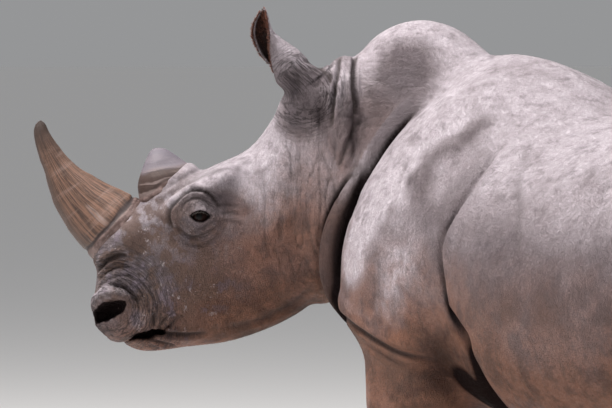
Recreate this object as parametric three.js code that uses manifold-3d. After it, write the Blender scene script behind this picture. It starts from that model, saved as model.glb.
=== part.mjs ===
// A life-size white rhinoceros cow, standing still on all four feet with the head raised
// and turned to its left. Millimetres, +Z up. The nose end is towards -X and the animal's
// left side towards -Y. The flesh is one implicit form, a field that is negative inside,
// which is meshed part by part and divided by thin plane cuts; horns, eyes and toenails
// are solids of their own.
import * as THREE from "three";
import { mergeVertices } from "three/addons/utils/BufferGeometryUtils.js";
import Module from "manifold-3d";

// ---------------------------------------------------------------- driving dimensions

const GAP = 0.6; // clearance left by each cut between two neighbouring parts
const HEAD_YAW = 50; // the head's turn to the left, in degrees
const HEAD_PITCH = 42; // the head's line from poll to lips, in degrees below level
const POLL = [-500, -203, 1554]; // top of the skull between the ears

const FORE_FOOT = { x: 0, y: 300 }; // fore legs stand under the withers
const HIND_FOOT = { x: 1610, y: 275 };
const STRIDE = { foreRight: -90, hindRight: -130, hindLeft: 50 }; // uneven, easy stance

const EYE = { at: [528, 150, -38], radius: 24 }; // in the skull's own frame
const LID_OPENING = { out: 26, radii: [25, 27, 12] }; // along, outwards and up
const FLOOR_DEPTH = 60; // the legs run on this far below the floor before the soles are cut
const MIDDLE = { x: 504.4, y: -132.9 }; // middle of the whole plan, which becomes the origin

// Trunk sections, front to back:
// [x, side shift, top, widest level, bottom, half width, arch power, keel power]
const TRUNK = [
  [-330, 0, 1400, 1090, 905, 270, 1.5, 2.0], // breast, inside the neck
  [-190, 0, 1560, 1090, 840, 372, 1.5, 2.0], // point of the shoulder
  [0, 0, 1620, 1080, 668, 412, 1.5, 2.0], // over the fore legs
  [160, 0, 1618, 1060, 610, 440, 1.55, 2.1], // withers
  [330, 0, 1558, 1030, 578, 490, 1.65, 2.2], // girth
  [510, 0, 1478, 990, 558, 542, 1.8, 2.3],
  [760, 0, 1452, 970, 540, 578, 2.0, 2.3], // middle of the belly, lowest of the back
  [1000, 0, 1470, 970, 550, 584, 2.0, 2.3],
  [1230, 0, 1530, 1000, 605, 550, 1.9, 2.2],
  [1450, 0, 1568, 1040, 695, 485, 1.8, 2.1], // croup
  [1680, 0, 1518, 1080, 790, 430, 1.9, 2.1],
  [1880, 0, 1375, 1090, 880, 325, 2.0, 2.1], // buttocks
  [1990, 0, 1235, 1100, 970, 170, 2.0, 2.0],
];

// Neck sections along its own bent line, from the withers to the poll:
// [distance, side shift, top, widest level, bottom, half width, arch power, keel power]
const NECK_LINE = [
  [120, 0],
  [-54, 0],
  [-150, -10],
  [-240, -32],
  [-330, -68],
  [-400, -112],
  [-455, -160],
  [-560, -280],
];
const NECK = [
  [0, 0, 1520, 1130, 800, 280, 1.6, 2.0],
  [174, 0, 1570, 1110, 800, 330, 1.5, 2.0], // behind the hump
  [270, 0, 1615, 1100, 845, 338, 1.5, 2.0],
  [363, 0, 1640, 1095, 865, 332, 1.5, 2.0], // under the top of the hump
  [460, 0, 1635, 1100, 890, 305, 1.5, 2.0],
  [543, 0, 1610, 1130, 925, 270, 1.6, 2.0],
  [616, 0, 1562, 1180, 955, 230, 1.8, 2.0],
  [700, 0, 1530, 1200, 970, 190, 2.0, 2.0],
  [780, 0, 1400, 1220, 1080, 90, 2.0, 2.0], // inside the head
];

const BEND_SOFTNESS = 25;

// Head sections from the poll to the lips, in the skull's own frame:
// [forward, side shift, top, widest level, bottom, half width, arch power, keel power]
const HEAD = [
  [-60, 0, -15, -150, -330, 150, 2.0, 2.0],
  [60, 0, 35, -120, -405, 162, 1.9, 2.1],
  [170, 0, 32, -120, -438, 162, 1.9, 2.2],
  [300, 0, 11, -130, -446, 160, 2.0, 2.3],
  [420, 0, 45, -130, -438, 158, 2.0, 2.3], // across the brows
  [520, 0, 74, -130, -430, 142, 2.0, 2.3],
  [620, 0, 96, -130, -400, 124, 2.2, 2.3],
  [720, 0, 104, -130, -354, 116, 2.7, 2.3],
  [800, 0, 72, -130, -298, 114, 2.7, 2.3],
  [860, 0, 22, -135, -250, 116, 2.5, 2.3],
  [920, 0, -22, -118, -188, 112, 2.4, 2.4], // nostrils
  [958, 0, -66, -100, -136, 72, 2.2, 2.2],
];

// Leg sections from above down: [z, x shift, half length, side shift, half width]
const FORE_LEG = [
  [1050, 60, 190, 10, 130],
  [830, 20, 178, 0, 146],
  [620, 0, 153, 0, 130], // forearm
  [500, -12, 126, 0, 112],
  [430, -16, 122, 0, 108], // carpus
  [300, -2, 100, 0, 96], // cannon
  [180, 4, 101, 0, 98],
  [90, -14, 120, 0, 112],
  [25, -20, 128, 0, 120], // pad of the foot
  [-60, -20, 122, 0, 114],
];
const HIND_LEG = [
  [1250, -130, 300, -15, 150],
  [1000, -70, 320, 0, 160], // thigh
  [820, -60, 270, 8, 150],
  [640, 0, 182, 8, 124], // gaskin
  [500, 62, 140, 6, 104],
  [440, 66, 126, 4, 98], // hock
  [320, 42, 98, 0, 90],
  [180, 22, 98, -2, 94],
  [90, 0, 114, -4, 106],
  [25, -8, 120, -4, 112], // pad of the foot
  [-60, -8, 114, -4, 106],
];

// Horn sections in the skull's own frame, from the base to the tip:
// [rear edge forward, rear edge up, front edge forward, front edge up, half width]
const FRONT_HORN = [
  [630, 85, 838, 40, 92],
  [634, 118, 843, 92, 92],
  [650, 162, 840, 168, 74],
  [672, 212, 830, 222, 61],
  [684, 252, 819, 266, 52],
  [698, 294, 800, 308, 43],
  [702, 346, 779, 350, 33],
  [699, 388, 760, 396, 26],
  [694, 424, 742, 430, 20],
  [686, 450, 724, 456, 14],
  [688, 466, 708, 467, 7],
];
const REAR_HORN = [
  [458, 52, 622, 92, 76],
  [460, 98, 618, 130, 70],
  [471, 140, 600, 150, 56],
  [478, 166, 572, 168, 40],
  [490, 182, 545, 181, 24],
  [502, 191, 524, 190, 9],
];

// Ear sections in the skull's own frame, from the root up:
// [up, forward, side, radius, outer rim angle, inner rim angle, wall]; the rims' angles go
// from straight forward (0) towards the side (90), and the ear is open between them.
const EAR = [
  [36, 58, 108, 60, 6, -6, 40],
  [70, 61, 113, 57, 6, -6, 38],
  [98, 63, 119, 55, 8, -8, 16],
  [125, 58, 126, 48, 14, -26, 9],
  [155, 59, 132, 42, 50, -14, 7],
  [185, 61, 137, 37, 88, -2, 6],
  [215, 58, 141, 32, 138, 4, 5],
  [240, 47, 145, 30, 172, 10, 5],
  [262, 29, 149, 25, 204, 32, 4],
  [275, 13, 152, 16, 222, 70, 4],
];
const EAR_SOLID = 3; // sections at the root of the ear that are solid

// Toenails on each foot: [turn from straight ahead, half width, half height, half depth]
const NAILS = [
  [0, 47, 44, 22],
  [-58, 38, 38, 20],
  [58, 38, 38, 20],
];
const NAIL_LIFT = 4; // the nails end this far above the floor
const NAIL_SINK = 6; // a nail's lowest point, before it is cut, is this far below the floor

// Tail sections from the root down: [z, x shift, half length, side shift, half width]
const TAIL = [
  [1372, -135, 30, 0, 44],
  [1320, -42, 54, 0, 52],
  [1240, 12, 42, 0, 44],
  [1100, 42, 29, 0, 33],
  [900, 50, 21, 0, 25],
  [780, 50, 17, 0, 26],
  [700, 50, 8, 0, 14],
];
const TAIL_ROOT = 1985;

// ---------------------------------------------------------------- field building blocks

const clamp = (v, low, high) => Math.min(high, Math.max(low, v));
const rad = THREE.MathUtils.degToRad;

// A smooth curve through rows [position, value, value, ...], held flat past its ends.
function rowsCurve(rows) {
  const slopes = rows.map((row, i) => {
    const before = rows[Math.max(i - 1, 0)];
    const after = rows[Math.min(i + 1, rows.length - 1)];
    return row.slice(1).map((_, k) => (after[k + 1] - before[k + 1]) / (after[0] - before[0]));
  });
  const turned = rows[0][0] > rows[rows.length - 1][0] ? -1 : 1;
  return (position) => {
    let i = 0;
    while (i < rows.length - 2 && turned * position > turned * rows[i + 1][0]) i++;
    const span = rows[i + 1][0] - rows[i][0];
    const t = clamp((position - rows[i][0]) / span, 0, 1);
    const [t2, t3] = [t * t, t * t * t];
    return rows[i].slice(1).map((from, k) => {
      const to = rows[i + 1][k + 1];
      return (
        (2 * t3 - 3 * t2 + 1) * from +
        (t3 - 2 * t2 + t) * span * slopes[i][k] +
        (3 * t2 - 2 * t3) * to +
        (t3 - t2) * span * slopes[i + 1][k]
      );
    });
  };
}

// Egg-shaped sections strung along one axis; see TRUNK for a row's meaning.
function sectionLoft(rows) {
  const curve = rowsCurve(rows);
  const [first, last] = [rows[0][0], rows[rows.length - 1][0]];
  return (along, side, up) => {
    const held = clamp(along, first, last);
    const [shift, top, level, bottom, half, arch, keel] = curve(held);
    const tall = up > level ? top - level : level - bottom;
    const wide = Math.abs(side - shift) / half;
    const high = Math.abs(up - level) / tall;
    const power = 2 + ((up > level ? arch : keel) - 2) * Math.min(high / 0.6, 1);
    const gauge = (wide ** power + high ** power) ** (1 / power);
    const inner = (gauge - 1) * Math.min(half, (top - bottom) / 2);
    return Math.max(inner, first - along, along - last);
  };
}

// Rounded sections strung down a leg or a tail; see FORE_LEG for a row's meaning.
function columnLoft(rows, power = 2.3) {
  const curve = rowsCurve(rows);
  const [top, bottom] = [rows[0][0], rows[rows.length - 1][0]];
  return (x, y, z) => {
    const held = clamp(z, bottom, top);
    const [shiftX, long, shiftY, wide] = curve(held);
    const gauge =
      ((Math.abs(x - shiftX) / long) ** power + (Math.abs(y - shiftY) / wide) ** power) **
      (1 / power);
    return Math.max((gauge - 1) * Math.min(long, wide), bottom - z, z - top);
  };
}

// An ellipsoid, turned by degrees about its own x, y and z axes.
function lump(centre, radii, turn = [0, 0, 0]) {
  const euler = new THREE.Euler(...turn.map(rad), "ZYX");
  const e = new THREE.Matrix4().makeRotationFromEuler(euler).elements;
  return (x, y, z) => {
    const [dx, dy, dz] = [x - centre[0], y - centre[1], z - centre[2]];
    const a = (e[0] * dx + e[1] * dy + e[2] * dz) / radii[0];
    const b = (e[4] * dx + e[5] * dy + e[6] * dz) / radii[1];
    const c = (e[8] * dx + e[9] * dy + e[10] * dz) / radii[2];
    const reach = Math.hypot(a, b, c);
    const slope = Math.hypot(a / radii[0], b / radii[1], c / radii[2]);
    return slope < 1e-9 ? -Math.min(...radii) : (reach * (reach - 1)) / slope;
  };
}

// A round strand along a list of points, with a radius that runs from the first to the last.
function strand(points, radius, endRadius = radius) {
  return (x, y, z) => {
    let best = Infinity;
    for (let i = 0; i < points.length - 1; i++) {
      const [a, b] = [points[i], points[i + 1]];
      const [ux, uy, uz] = [b[0] - a[0], b[1] - a[1], b[2] - a[2]];
      const dot = (x - a[0]) * ux + (y - a[1]) * uy + (z - a[2]) * uz;
      const t = clamp(dot / (ux * ux + uy * uy + uz * uz), 0, 1);
      const share = (i + t) / (points.length - 1);
      const gap = Math.hypot(x - a[0] - t * ux, y - a[1] - t * uy, z - a[2] - t * uz);
      best = Math.min(best, gap - radius - share * (endRadius - radius));
    }
    return best;
  };
}

// Joins two fields, rounding the corner between them over about the given width.
function blend(a, b, width) {
  const near = Math.max(width - Math.abs(a - b), 0) / width;
  return Math.min(a, b) - (near * near * width) / 4;
}
const carve = (a, b, width) => -blend(-a, b, width);

// ---------------------------------------------------------------- the head

const headFrame = new THREE.Matrix4()
  .makeTranslation(...POLL)
  .multiply(new THREE.Matrix4().makeRotationZ(rad(HEAD_YAW)))
  .multiply(new THREE.Matrix4().makeRotationY(rad(-HEAD_PITCH)));
const intoHead = headFrame.clone().invert().elements;

const skull = sectionLoft(HEAD);
// Lumps on both sides of the head: [forward, side, up], radii, turn, blend width.
const headLumps = [
  [lump([330, 88, -262], [165, 72, 165], [0, -25, 0]), 70], // chewing muscle
  [lump([490, 106, 6], [112, 56, 38], [0, -6, -8]), 60], // brow and cheekbone
  [lump([526, 128, -40], [62, 40, 56], [0, -40, 0]), 26], // mound round the eye
  [lump([100, 95, -20], [90, 75, 80]), 60], // root of the ear
  [lump([64, 118, -14], [60, 64, 58], [0, 12, 0]), 34], // the fold behind it
  [lump([736, 0, 52], [112, 108, 60]), 40], // boss of the front horn
  [lump([545, 0, 66], [98, 92, 46], [0, 8, 0]), 30], // boss of the rear horn
  [lump([838, 0, -20], [62, 112, 50], [0, 26, 0]), 26], // pad of the nose
  [lump([882, 54, -70], [66, 58, 60]), 30], // round the nostril
  [lump([896, 40, -124], [50, 66, 34], [0, 18, 0]), 16], // upper lip
  [lump([850, 0, -212], [90, 84, 42], [0, -32, 0]), 16], // lower lip
];
const nostrilRim = strand(
  [
    [920, 62, -34],
    [902, 90, -22],
    [874, 110, -26],
    [850, 116, -44],
    [840, 112, -72],
  ],
  21,
  14,
);
const nostrilHole = lump([898, 110, -60], [44, 76, 21], [0, -20, 26]);

function headField(x, y, z) {
  const e = intoHead;
  const forward = -(e[0] * x + e[4] * y + e[8] * z + e[12]);
  const side = Math.abs(e[1] * x + e[5] * y + e[9] * z + e[13]);
  const up = e[2] * x + e[6] * y + e[10] * z + e[14];
  let form = skull(forward, side, up);
  for (const [shape, width] of headLumps) form = blend(form, shape(forward, side, up), width);
  form = blend(form, nostrilRim(forward, side, up), 16);
  return carve(form, nostrilHole(forward, side, up), 16);
}

// ---------------------------------------------------------------- trunk, neck and legs

const trunkForm = sectionLoft(TRUNK);
const neckForm = sectionLoft(NECK);
const hump = lump([-294, -38, 1459], [234, 162, 266], [0, 1, 24]);
const croup = lump([1400, 0, 1450], [300, 210, 150], [0, 6, 0]);
const shoulderBlade = lump([10, 250, 1200], [185, 130, 370], [14, 30, 0]);
const upperArm = lump([60, 352, 985], [280, 108, 235], [0, -12, 0]);
const thigh = lump([1520, 300, 1080], [330, 160, 330], [0, -10, 0]);
const stifle = lump([1360, 372, 800], [140, 90, 165], [0, -20, 0]);
const collarRoll = strand(
  [
    [-200, -345, 925],
    [-250, -366, 985],
    [-272, -366, 1060],
    [-278, -350, 1130],
    [-274, -318, 1205],
    [-262, -290, 1270],
    [-238, -264, 1335],
    [-204, -242, 1390],
    [-168, -214, 1440],
    [-140, -184, 1480],
  ],
  62,
  26,
);
// The fold of skin that crosses the neck behind the ears.
const napeFold = strand(
  [
    [-283, -300, 1290],
    [-312, -316, 1380],
    [-340, -296, 1480],
    [-392, -240, 1572],
    [-474, -180, 1594],
    [-552, -110, 1560],
    [-580, -55, 1470],
    [-540, -20, 1370],
  ],
  27,
  20,
);
// The roll of skin over each forearm.
const armRoll = strand(
  [
    [-200, 384, 950],
    [-150, 406, 925],
    [-104, 414, 908],
    [-56, 420, 892],
    [-6, 424, 872],
    [46, 420, 852],
    [90, 410, 838],
    [140, 390, 830],
  ],
  40,
  26,
);
const foreLeg = columnLoft(FORE_LEG);
const hindLeg = columnLoft(HIND_LEG);

// How far along the neck's bent line a point is, and how far off it to the side. The pieces
// of the line share a point by how near they are, so the inside of the bend has no seams.
function alongNeck(x, y) {
  const [gaps, alongs] = [[], []];
  let run = 0;
  for (let i = 0; i < NECK_LINE.length - 1; i++) {
    const [a, b] = [NECK_LINE[i], NECK_LINE[i + 1]];
    const [ux, uy] = [b[0] - a[0], b[1] - a[1]];
    const length = Math.hypot(ux, uy);
    const low = i === 0 ? -Infinity : 0;
    const high = i === NECK_LINE.length - 2 ? Infinity : 1;
    const t = clamp(((x - a[0]) * ux + (y - a[1]) * uy) / length ** 2, low, high);
    gaps.push(Math.hypot(x - a[0] - t * ux, y - a[1] - t * uy));
    alongs.push(run + t * length);
    run += length;
  }
  const nearest = Math.min(...gaps);
  const weights = gaps.map((gap) => Math.exp((nearest - gap) / BEND_SOFTNESS));
  const total = weights.reduce((sum, weight) => sum + weight, 0);
  return [weights.reduce((sum, weight, i) => sum + weight * alongs[i], 0) / total, nearest];
}

function foreLegField(x, y, z) {
  const footX = FORE_FOOT.x + (y > 0 ? STRIDE.foreRight : 0) * clamp(1.25 - z / 800, 0, 1);
  return foreLeg(x - footX, Math.abs(y) - FORE_FOOT.y, z);
}

function hindLegField(x, y, z) {
  const stride = y > 0 ? STRIDE.hindRight : STRIDE.hindLeft;
  return hindLeg(
    x - HIND_FOOT.x - stride * clamp(1.25 - z / 800, 0, 1),
    Math.abs(y) - HIND_FOOT.y,
    z,
  );
}

function trunkField(x, y, z) {
  const side = Math.abs(y);
  let form = blend(trunkForm(x, y, z), croup(x, y, z), 120);
  form = blend(form, thigh(x, side, z), 110);
  form = blend(form, stifle(x, side, z), 90);
  form = blend(form, hindLegField(x, y, z), 90);
  let fore = blend(upperArm(x, side, z), shoulderBlade(x, side, z), 120);
  fore = blend(fore, foreLegField(x, y, z), 35);
  fore = blend(fore, armRoll(x, side, z), 30);
  return blend(form, fore, 70 + 60 * clamp((z - 900) / 500, 0, 1));
}

function neckField(x, y, z) {
  const [along, side] = alongNeck(x, y);
  let form = blend(neckForm(along, side, z), hump(x, y, z), 50);
  form = blend(form, napeFold(x, y, z), 40);
  return blend(form, collarRoll(x, y, z), 50);
}

function fleshField(x, y, z) {
  const front = blend(neckField(x, y, z), headField(x, y, z), 90);
  // A tight fold on the inside of the neck's bend, a soft one on its top and stretched side.
  const fold = 34 + 71 * clamp(Math.max((y + 40) / 260, (z - 1400) / 280), 0, 1);
  return blend(trunkField(x, y, z), front, fold);
}

// ---------------------------------------------------------------- meshing the field

// Surface nets: one vertex in each cell that the surface crosses, moved onto the surface,
// and two triangles across each grid edge that it crosses.
function meshField(field, box, cell) {
  const low = box.min.toArray();
  const counts = box.max.toArray().map((high, n) => Math.ceil((high - low[n]) / cell[n]) + 1);
  const [nx, ny, nz] = counts;
  const at = (i, j, k) => (k * ny + j) * nx + i;
  const values = sampleField(field, low, cell, counts);
  const positions = [];
  const vertexOf = new Int32Array(nx * ny * nz).fill(-1);
  eachCell(counts, (i, j, k) => {
    const middle = crossingMean((c) => values[at(i + c[0], j + c[1], k + c[2])]);
    if (!middle) return;
    vertexOf[at(i, j, k)] = positions.length / 3;
    const start = [i, j, k].map((c, n) => low[n] + (c + middle[n]) * cell[n]);
    positions.push(...ontoSurface(field, start, cell));
  });

  const triangles = [];
  eachCell(counts, (i, j, k) => {
    STEPS.forEach((step, axis) => {
      const inside = values[at(i, j, k)] < 0;
      if (inside === values[at(i + step[0], j + step[1], k + step[2])] < 0) return;
      const [u, v] = [STEPS[(axis + 1) % 3], STEPS[(axis + 2) % 3]];
      const cellAt = (a, b) =>
        vertexOf[at(i - a * u[0] - b * v[0], j - a * u[1] - b * v[1], k - a * u[2] - b * v[2])];
      const ring = [cellAt(0, 0), cellAt(1, 0), cellAt(1, 1), cellAt(0, 1)];
      if (!inside) ring.reverse();
      triangles.push(ring[0], ring[1], ring[2], ring[0], ring[2], ring[3]);
    });
  });
  const geometry = new THREE.BufferGeometry();
  geometry.setAttribute("position", new THREE.Float32BufferAttribute(positions, 3));
  return geometry.setIndex(triangles);
}

const STEPS = [
  [1, 0, 0],
  [0, 1, 0],
  [0, 0, 1],
];
const CORNERS = [0, 1, 2, 3, 4, 5, 6, 7].map((n) => [n & 1, (n >> 1) & 1, n >> 2]);

function eachCell([nx, ny, nz], visit) {
  for (let k = 0; k < nz - 1; k++)
    for (let j = 0; j < ny - 1; j++) for (let i = 0; i < nx - 1; i++) visit(i, j, k);
}

// The field at the grid's points, kept outside the surface on the box's own faces.
function sampleField(field, low, cell, [nx, ny, nz]) {
  const values = new Float64Array(nx * ny * nz);
  let n = 0;
  for (let k = 0; k < nz; k++)
    for (let j = 0; j < ny; j++)
      for (let i = 0; i < nx; i++) {
        const value = field(low[0] + i * cell[0], low[1] + j * cell[1], low[2] + k * cell[2]);
        const face = !(i && j && k) || i === nx - 1 || j === ny - 1 || k === nz - 1;
        values[n++] = face ? Math.max(value, cell[0] / 2) : value;
      }
  return values;
}

// The mean of the points where a cell's edges cross the surface, if any do.
function crossingMean(valueAt) {
  const sum = [0, 0, 0];
  let crossings = 0;
  for (let a = 0; a < 8; a++)
    for (const bit of [1, 2, 4]) {
      if (a & bit) continue;
      const [p, q] = [CORNERS[a], CORNERS[a | bit]];
      const [v, w] = [valueAt(p), valueAt(q)];
      if (v < 0 === w < 0) continue;
      for (let n = 0; n < 3; n++) sum[n] += p[n] + (v / (v - w)) * (q[n] - p[n]);
      crossings++;
    }
  return crossings ? sum.map((c) => c / crossings) : null;
}

// Newton steps down the field's slope, held within half a cell of the start.
function ontoSurface(field, start, cell) {
  let point = start;
  const e = 1;
  for (let step = 0; step < 3; step++) {
    const [x, y, z] = point;
    const value = field(x, y, z);
    const slope = [
      (field(x + e, y, z) - field(x - e, y, z)) / (2 * e),
      (field(x, y + e, z) - field(x, y - e, z)) / (2 * e),
      (field(x, y, z + e) - field(x, y, z - e)) / (2 * e),
    ];
    const square = slope[0] ** 2 + slope[1] ** 2 + slope[2] ** 2;
    if (square < 1e-6) return start;
    point = point.map((c, n) => c - (value * slope[n]) / square);
  }
  return point.map((c, n) => clamp(c, start[n] - cell[n] / 2, start[n] + cell[n] / 2));
}

// ---------------------------------------------------------------- cutting and joining

const wasm = await Module();
wasm.setup();

function toSolid(geometry) {
  const bare = geometry.clone();
  bare.deleteAttribute("normal");
  bare.deleteAttribute("uv");
  const merged = mergeVertices(bare, 1e-3);
  return new wasm.Manifold(
    new wasm.Mesh({
      numProp: 3,
      vertProperties: merged.attributes.position.array,
      triVerts: new Uint32Array(merged.index.array),
    }),
  );
}

function toGeometry(solid) {
  const { numProp, vertProperties, triVerts } = solid.getMesh();
  const count = vertProperties.length / numProp;
  const positions = new Float32Array(count * 3);
  for (let i = 0; i < count; i++)
    positions.set(vertProperties.subarray(i * numProp, i * numProp + 3), i * 3);
  const geometry = new THREE.BufferGeometry();
  geometry.setAttribute("position", new THREE.BufferAttribute(positions, 3));
  geometry.setIndex(new THREE.BufferAttribute(triVerts, 1));
  return geometry;
}

// A closed solid on a row of equal rings of [x, y, z] points; each end is closed straight
// across, from the ring's first half to its second half.
function ringLoft(rings) {
  const count = rings[0].length;
  const triangles = [];
  const quad = (a, b, c, d) => triangles.push(a, b, c, a, c, d);
  for (let r = 0; r < rings.length - 1; r++)
    for (let i = 0; i < count; i++) {
      const [a, b] = [r * count + i, r * count + ((i + 1) % count)];
      quad(a, b, b + count, a + count);
    }
  const end = (rings.length - 1) * count;
  for (let i = 0; i < count / 2 - 1; i++) {
    const [a, b, c, d] = [i, i + 1, count - 2 - i, count - 1 - i];
    quad(d, c, b, a);
    quad(end + a, end + b, end + c, end + d);
  }
  const geometry = new THREE.BufferGeometry();
  geometry.setAttribute("position", new THREE.Float32BufferAttribute(rings.flat(2), 3));
  geometry.setIndex(triangles);
  const solid = toSolid(geometry);
  if (solid.volume() > 0) return solid;
  return toSolid(geometry.setIndex(triangles.reverse()));
}

const boxAround = (low, high) =>
  new THREE.Box3(new THREE.Vector3(...low), new THREE.Vector3(...high));

// A block that fills everything on the far side of a plane from its normal.
function behindPlane(point, normal, shift = 0) {
  const size = 9000;
  const block = new THREE.BoxGeometry(size, size, size);
  block.translate(0, 0, -size / 2 + shift);
  const turn = new THREE.Quaternion().setFromUnitVectors(
    new THREE.Vector3(0, 0, 1),
    new THREE.Vector3(...normal).normalize(),
  );
  block.applyQuaternion(turn);
  return toSolid(block.translate(...point));
}

// A prism on a side-view outline of [x, z] points, from one y to another.
function sidePrism(outline, fromY, toY) {
  const shape = new THREE.Shape(outline.map(([x, z]) => new THREE.Vector2(x, z)));
  const prism = new THREE.ExtrudeGeometry(shape, { depth: toY - fromY, bevelEnabled: false });
  prism.rotateX(Math.PI / 2); // the shape's y becomes z, and the depth runs towards -y
  return toSolid(prism.translate(0, toY, 0));
}

// ---------------------------------------------------------------- flesh, cut into parts

const headCut = { point: [-452, -182, 1330], normal: [-0.88, -0.42, 0.12] };
const neckCut = { point: [-120, 0, 1300], normal: [-0.98, 0.1, 0.18] };
const LEG_SIDES = { near: 120, far: 700 }; // the legs are cut free between these, each side

const foreLegOutline = (stride, grow) => [
  [-300 + stride - grow, -grow],
  [196 + grow, -grow],
  [196 + grow, 640 + grow],
  [-40, 770 + grow],
  [-300 + stride - grow, 830 + grow],
];
const hindLegOutline = (stride, grow) => [
  [1190 - grow, -grow],
  [2090 + grow, -grow],
  [2090 + grow, 860 + grow],
  [1420 - grow, 960 + grow],
  [1190 - grow, 720 + grow],
];

const legs = [
  { name: "front_left", side: -1, stride: 0, outline: foreLegOutline, foot: FORE_FOOT },
  {
    name: "front_right",
    side: 1,
    stride: STRIDE.foreRight,
    outline: foreLegOutline,
    foot: FORE_FOOT,
  },
  {
    name: "hind_left",
    side: -1,
    stride: STRIDE.hindLeft,
    outline: hindLegOutline,
    foot: HIND_FOOT,
  },
  {
    name: "hind_right",
    side: 1,
    stride: STRIDE.hindRight,
    outline: hindLegOutline,
    foot: HIND_FOOT,
  },
];

function legPrism({ side, stride, outline }, grow) {
  const [near, far] = [LEG_SIDES.near - grow, LEG_SIDES.far];
  const shape = outline(stride, grow);
  return side < 0 ? sidePrism(shape, -far, -near) : sidePrism(shape, near, far);
}

const ahead = (normal) => normal.map((n) => -n);
const parts = {};

function makeFlesh() {
  const headBox = boxAround([-1320, -1180, 560], [-200, 260, 1900]);
  parts.head = toSolid(meshField(fleshField, headBox, [46, 46, 46])).intersect(
    behindPlane(headCut.point, ahead(headCut.normal)),
  );
  const neckBox = boxAround([-760, -560, 640], [200, 560, 1900]);
  parts.neck = toSolid(meshField(fleshField, neckBox, [60, 60, 66]))
    .intersect(behindPlane(headCut.point, headCut.normal, -GAP))
    .intersect(behindPlane(neckCut.point, ahead(neckCut.normal)));
  const trunkBox = boxAround([-500, -760, 380], [2120, 760, 1800]);
  parts.trunk = toSolid(meshField(fleshField, trunkBox, [135, 95, 92])).intersect(
    behindPlane(neckCut.point, neckCut.normal, -GAP),
  );
  for (const leg of legs) {
    for (const name of ["trunk", "neck"]) seat(name, legPrism(leg, GAP));
    const [x0, x1] = leg.foot === FORE_FOOT ? [-460, 260] : [1120, 2160];
    const [y0, y1] = leg.side < 0 ? [-640, -60] : [60, 640];
    const box = boxAround([x0, y0, -FLOOR_DEPTH - 40], [x1, y1, 1060]);
    parts[`leg_${leg.name}`] = toSolid(meshField(fleshField, box, [78, 78, 108])).intersect(
      legPrism(leg, 0),
    );
  }
}

// Takes a solid's place out of a flesh part, with a thin clearance round it.
function seat(name, place) {
  parts[name] = parts[name].subtract(place);
}

// ---------------------------------------------------------------- horns, eyes and ears

const fromSkull = (forward, side, up) =>
  new THREE.Vector3(-forward, side, up).applyMatrix4(headFrame).toArray();

function hornSolid(rows, grow) {
  const count = 12;
  const rings = rows.map(([rearForward, rearUp, frontForward, frontUp, half], row) => {
    const midForward = (rearForward + frontForward) / 2;
    const midUp = (rearUp + frontUp) / 2 - (row ? 0 : grow);
    const long = Math.hypot(frontForward - rearForward, frontUp - rearUp) / 2;
    return Array.from({ length: count }, (_, i) => {
      const angle = (2 * Math.PI * (i + 0.5)) / count;
      const share = Math.cos(angle) * (1 + grow / long);
      return fromSkull(
        midForward + (share * (frontForward - rearForward)) / 2,
        Math.sin(angle) * (half + grow),
        midUp + (share * (frontUp - rearUp)) / 2,
      );
    });
  });
  return ringLoft(rings);
}

// Part of a ring of points round the ear's line, from one angle to another.
function earArc([up, forward, side, radius], from, to, inset, mirror) {
  const count = 7;
  return Array.from({ length: count }, (_, i) => {
    const angle = rad(from + ((to - from) * i) / (count - 1));
    const reach = radius - inset;
    const out = side + reach * Math.sin(angle);
    return fromSkull(forward + reach * Math.cos(angle), mirror * out, up);
  });
}

function earSolid(mirror) {
  const tube = EAR.map((row) => {
    const [from, to, wall] = [row[4], row[5] + 360, row[6]];
    return [...earArc(row, from, to, 0, mirror), ...earArc(row, to, from, wall, mirror)];
  });
  return ringLoft(tube).add(earRoot(mirror, -4));
}

// The solid root of an ear, sunk into the head.
function earRoot(mirror, grow) {
  const rows = EAR.slice(0, EAR_SOLID).map(([up, ...rest], i) => [i ? up : up - grow, ...rest]);
  return ringLoft(rows.map((row) => earArc(row, 6, 354, -grow, mirror)));
}

function ballSolid(centre, radii, turn, segments = [12, 8]) {
  const ball = new THREE.SphereGeometry(1, ...segments);
  ball.scale(...radii).rotateX(Math.PI / 2);
  ball.rotateZ(turn);
  return toSolid(ball.translate(...centre));
}

// The almond between an eye's lids, cut down to the eyeball; its long axis lies level.
function lidOpening(mirror) {
  const [forward, side, up] = EYE.at;
  const ball = new THREE.SphereGeometry(1, 12, 8);
  ball.scale(...LID_OPENING.radii).rotateZ(rad(HEAD_YAW));
  return toSolid(ball.translate(...fromSkull(forward, mirror * (side + LID_OPENING.out), up)));
}

function makeHeadParts() {
  for (const [name, rows] of [
    ["horn_front", FRONT_HORN],
    ["horn_rear", REAR_HORN],
  ]) {
    parts[name] = hornSolid(rows, 0);
    seat("head", hornSolid(rows, GAP));
  }
  for (const [name, mirror] of [
    ["left", -1],
    ["right", 1],
  ]) {
    const [forward, side, up] = EYE.at;
    const centre = fromSkull(forward, mirror * side, up);
    const ball = (radius) => ballSolid(centre, [radius, radius, radius], 0);
    parts[`eye_${name}`] = ball(EYE.radius);
    seat("head", ball(EYE.radius + GAP));
    seat("head", lidOpening(mirror));
    parts[`ear_${name}`] = earSolid(mirror);
    seat("head", earRoot(mirror, GAP));
  }
}

// ---------------------------------------------------------------- tail and toenails

function tailSolid(grow) {
  const count = 12;
  const rings = TAIL.map(([z, shiftX, long, shiftY, wide]) =>
    Array.from({ length: count }, (_, i) => {
      const angle = (2 * Math.PI * (i + 0.5)) / count;
      const x = TAIL_ROOT + shiftX + (long + grow) * Math.cos(angle);
      return [x, shiftY + (wide + grow) * Math.sin(angle), z];
    }),
  );
  // The root end grows along the tail's own slope, so that no side of it moves inwards.
  const stretch = 0.03 * grow;
  rings[0] = rings[0].map((point, i) => point.map((c, n) => c + (c - rings[1][i][n]) * stretch));
  return ringLoft(rings);
}

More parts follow.
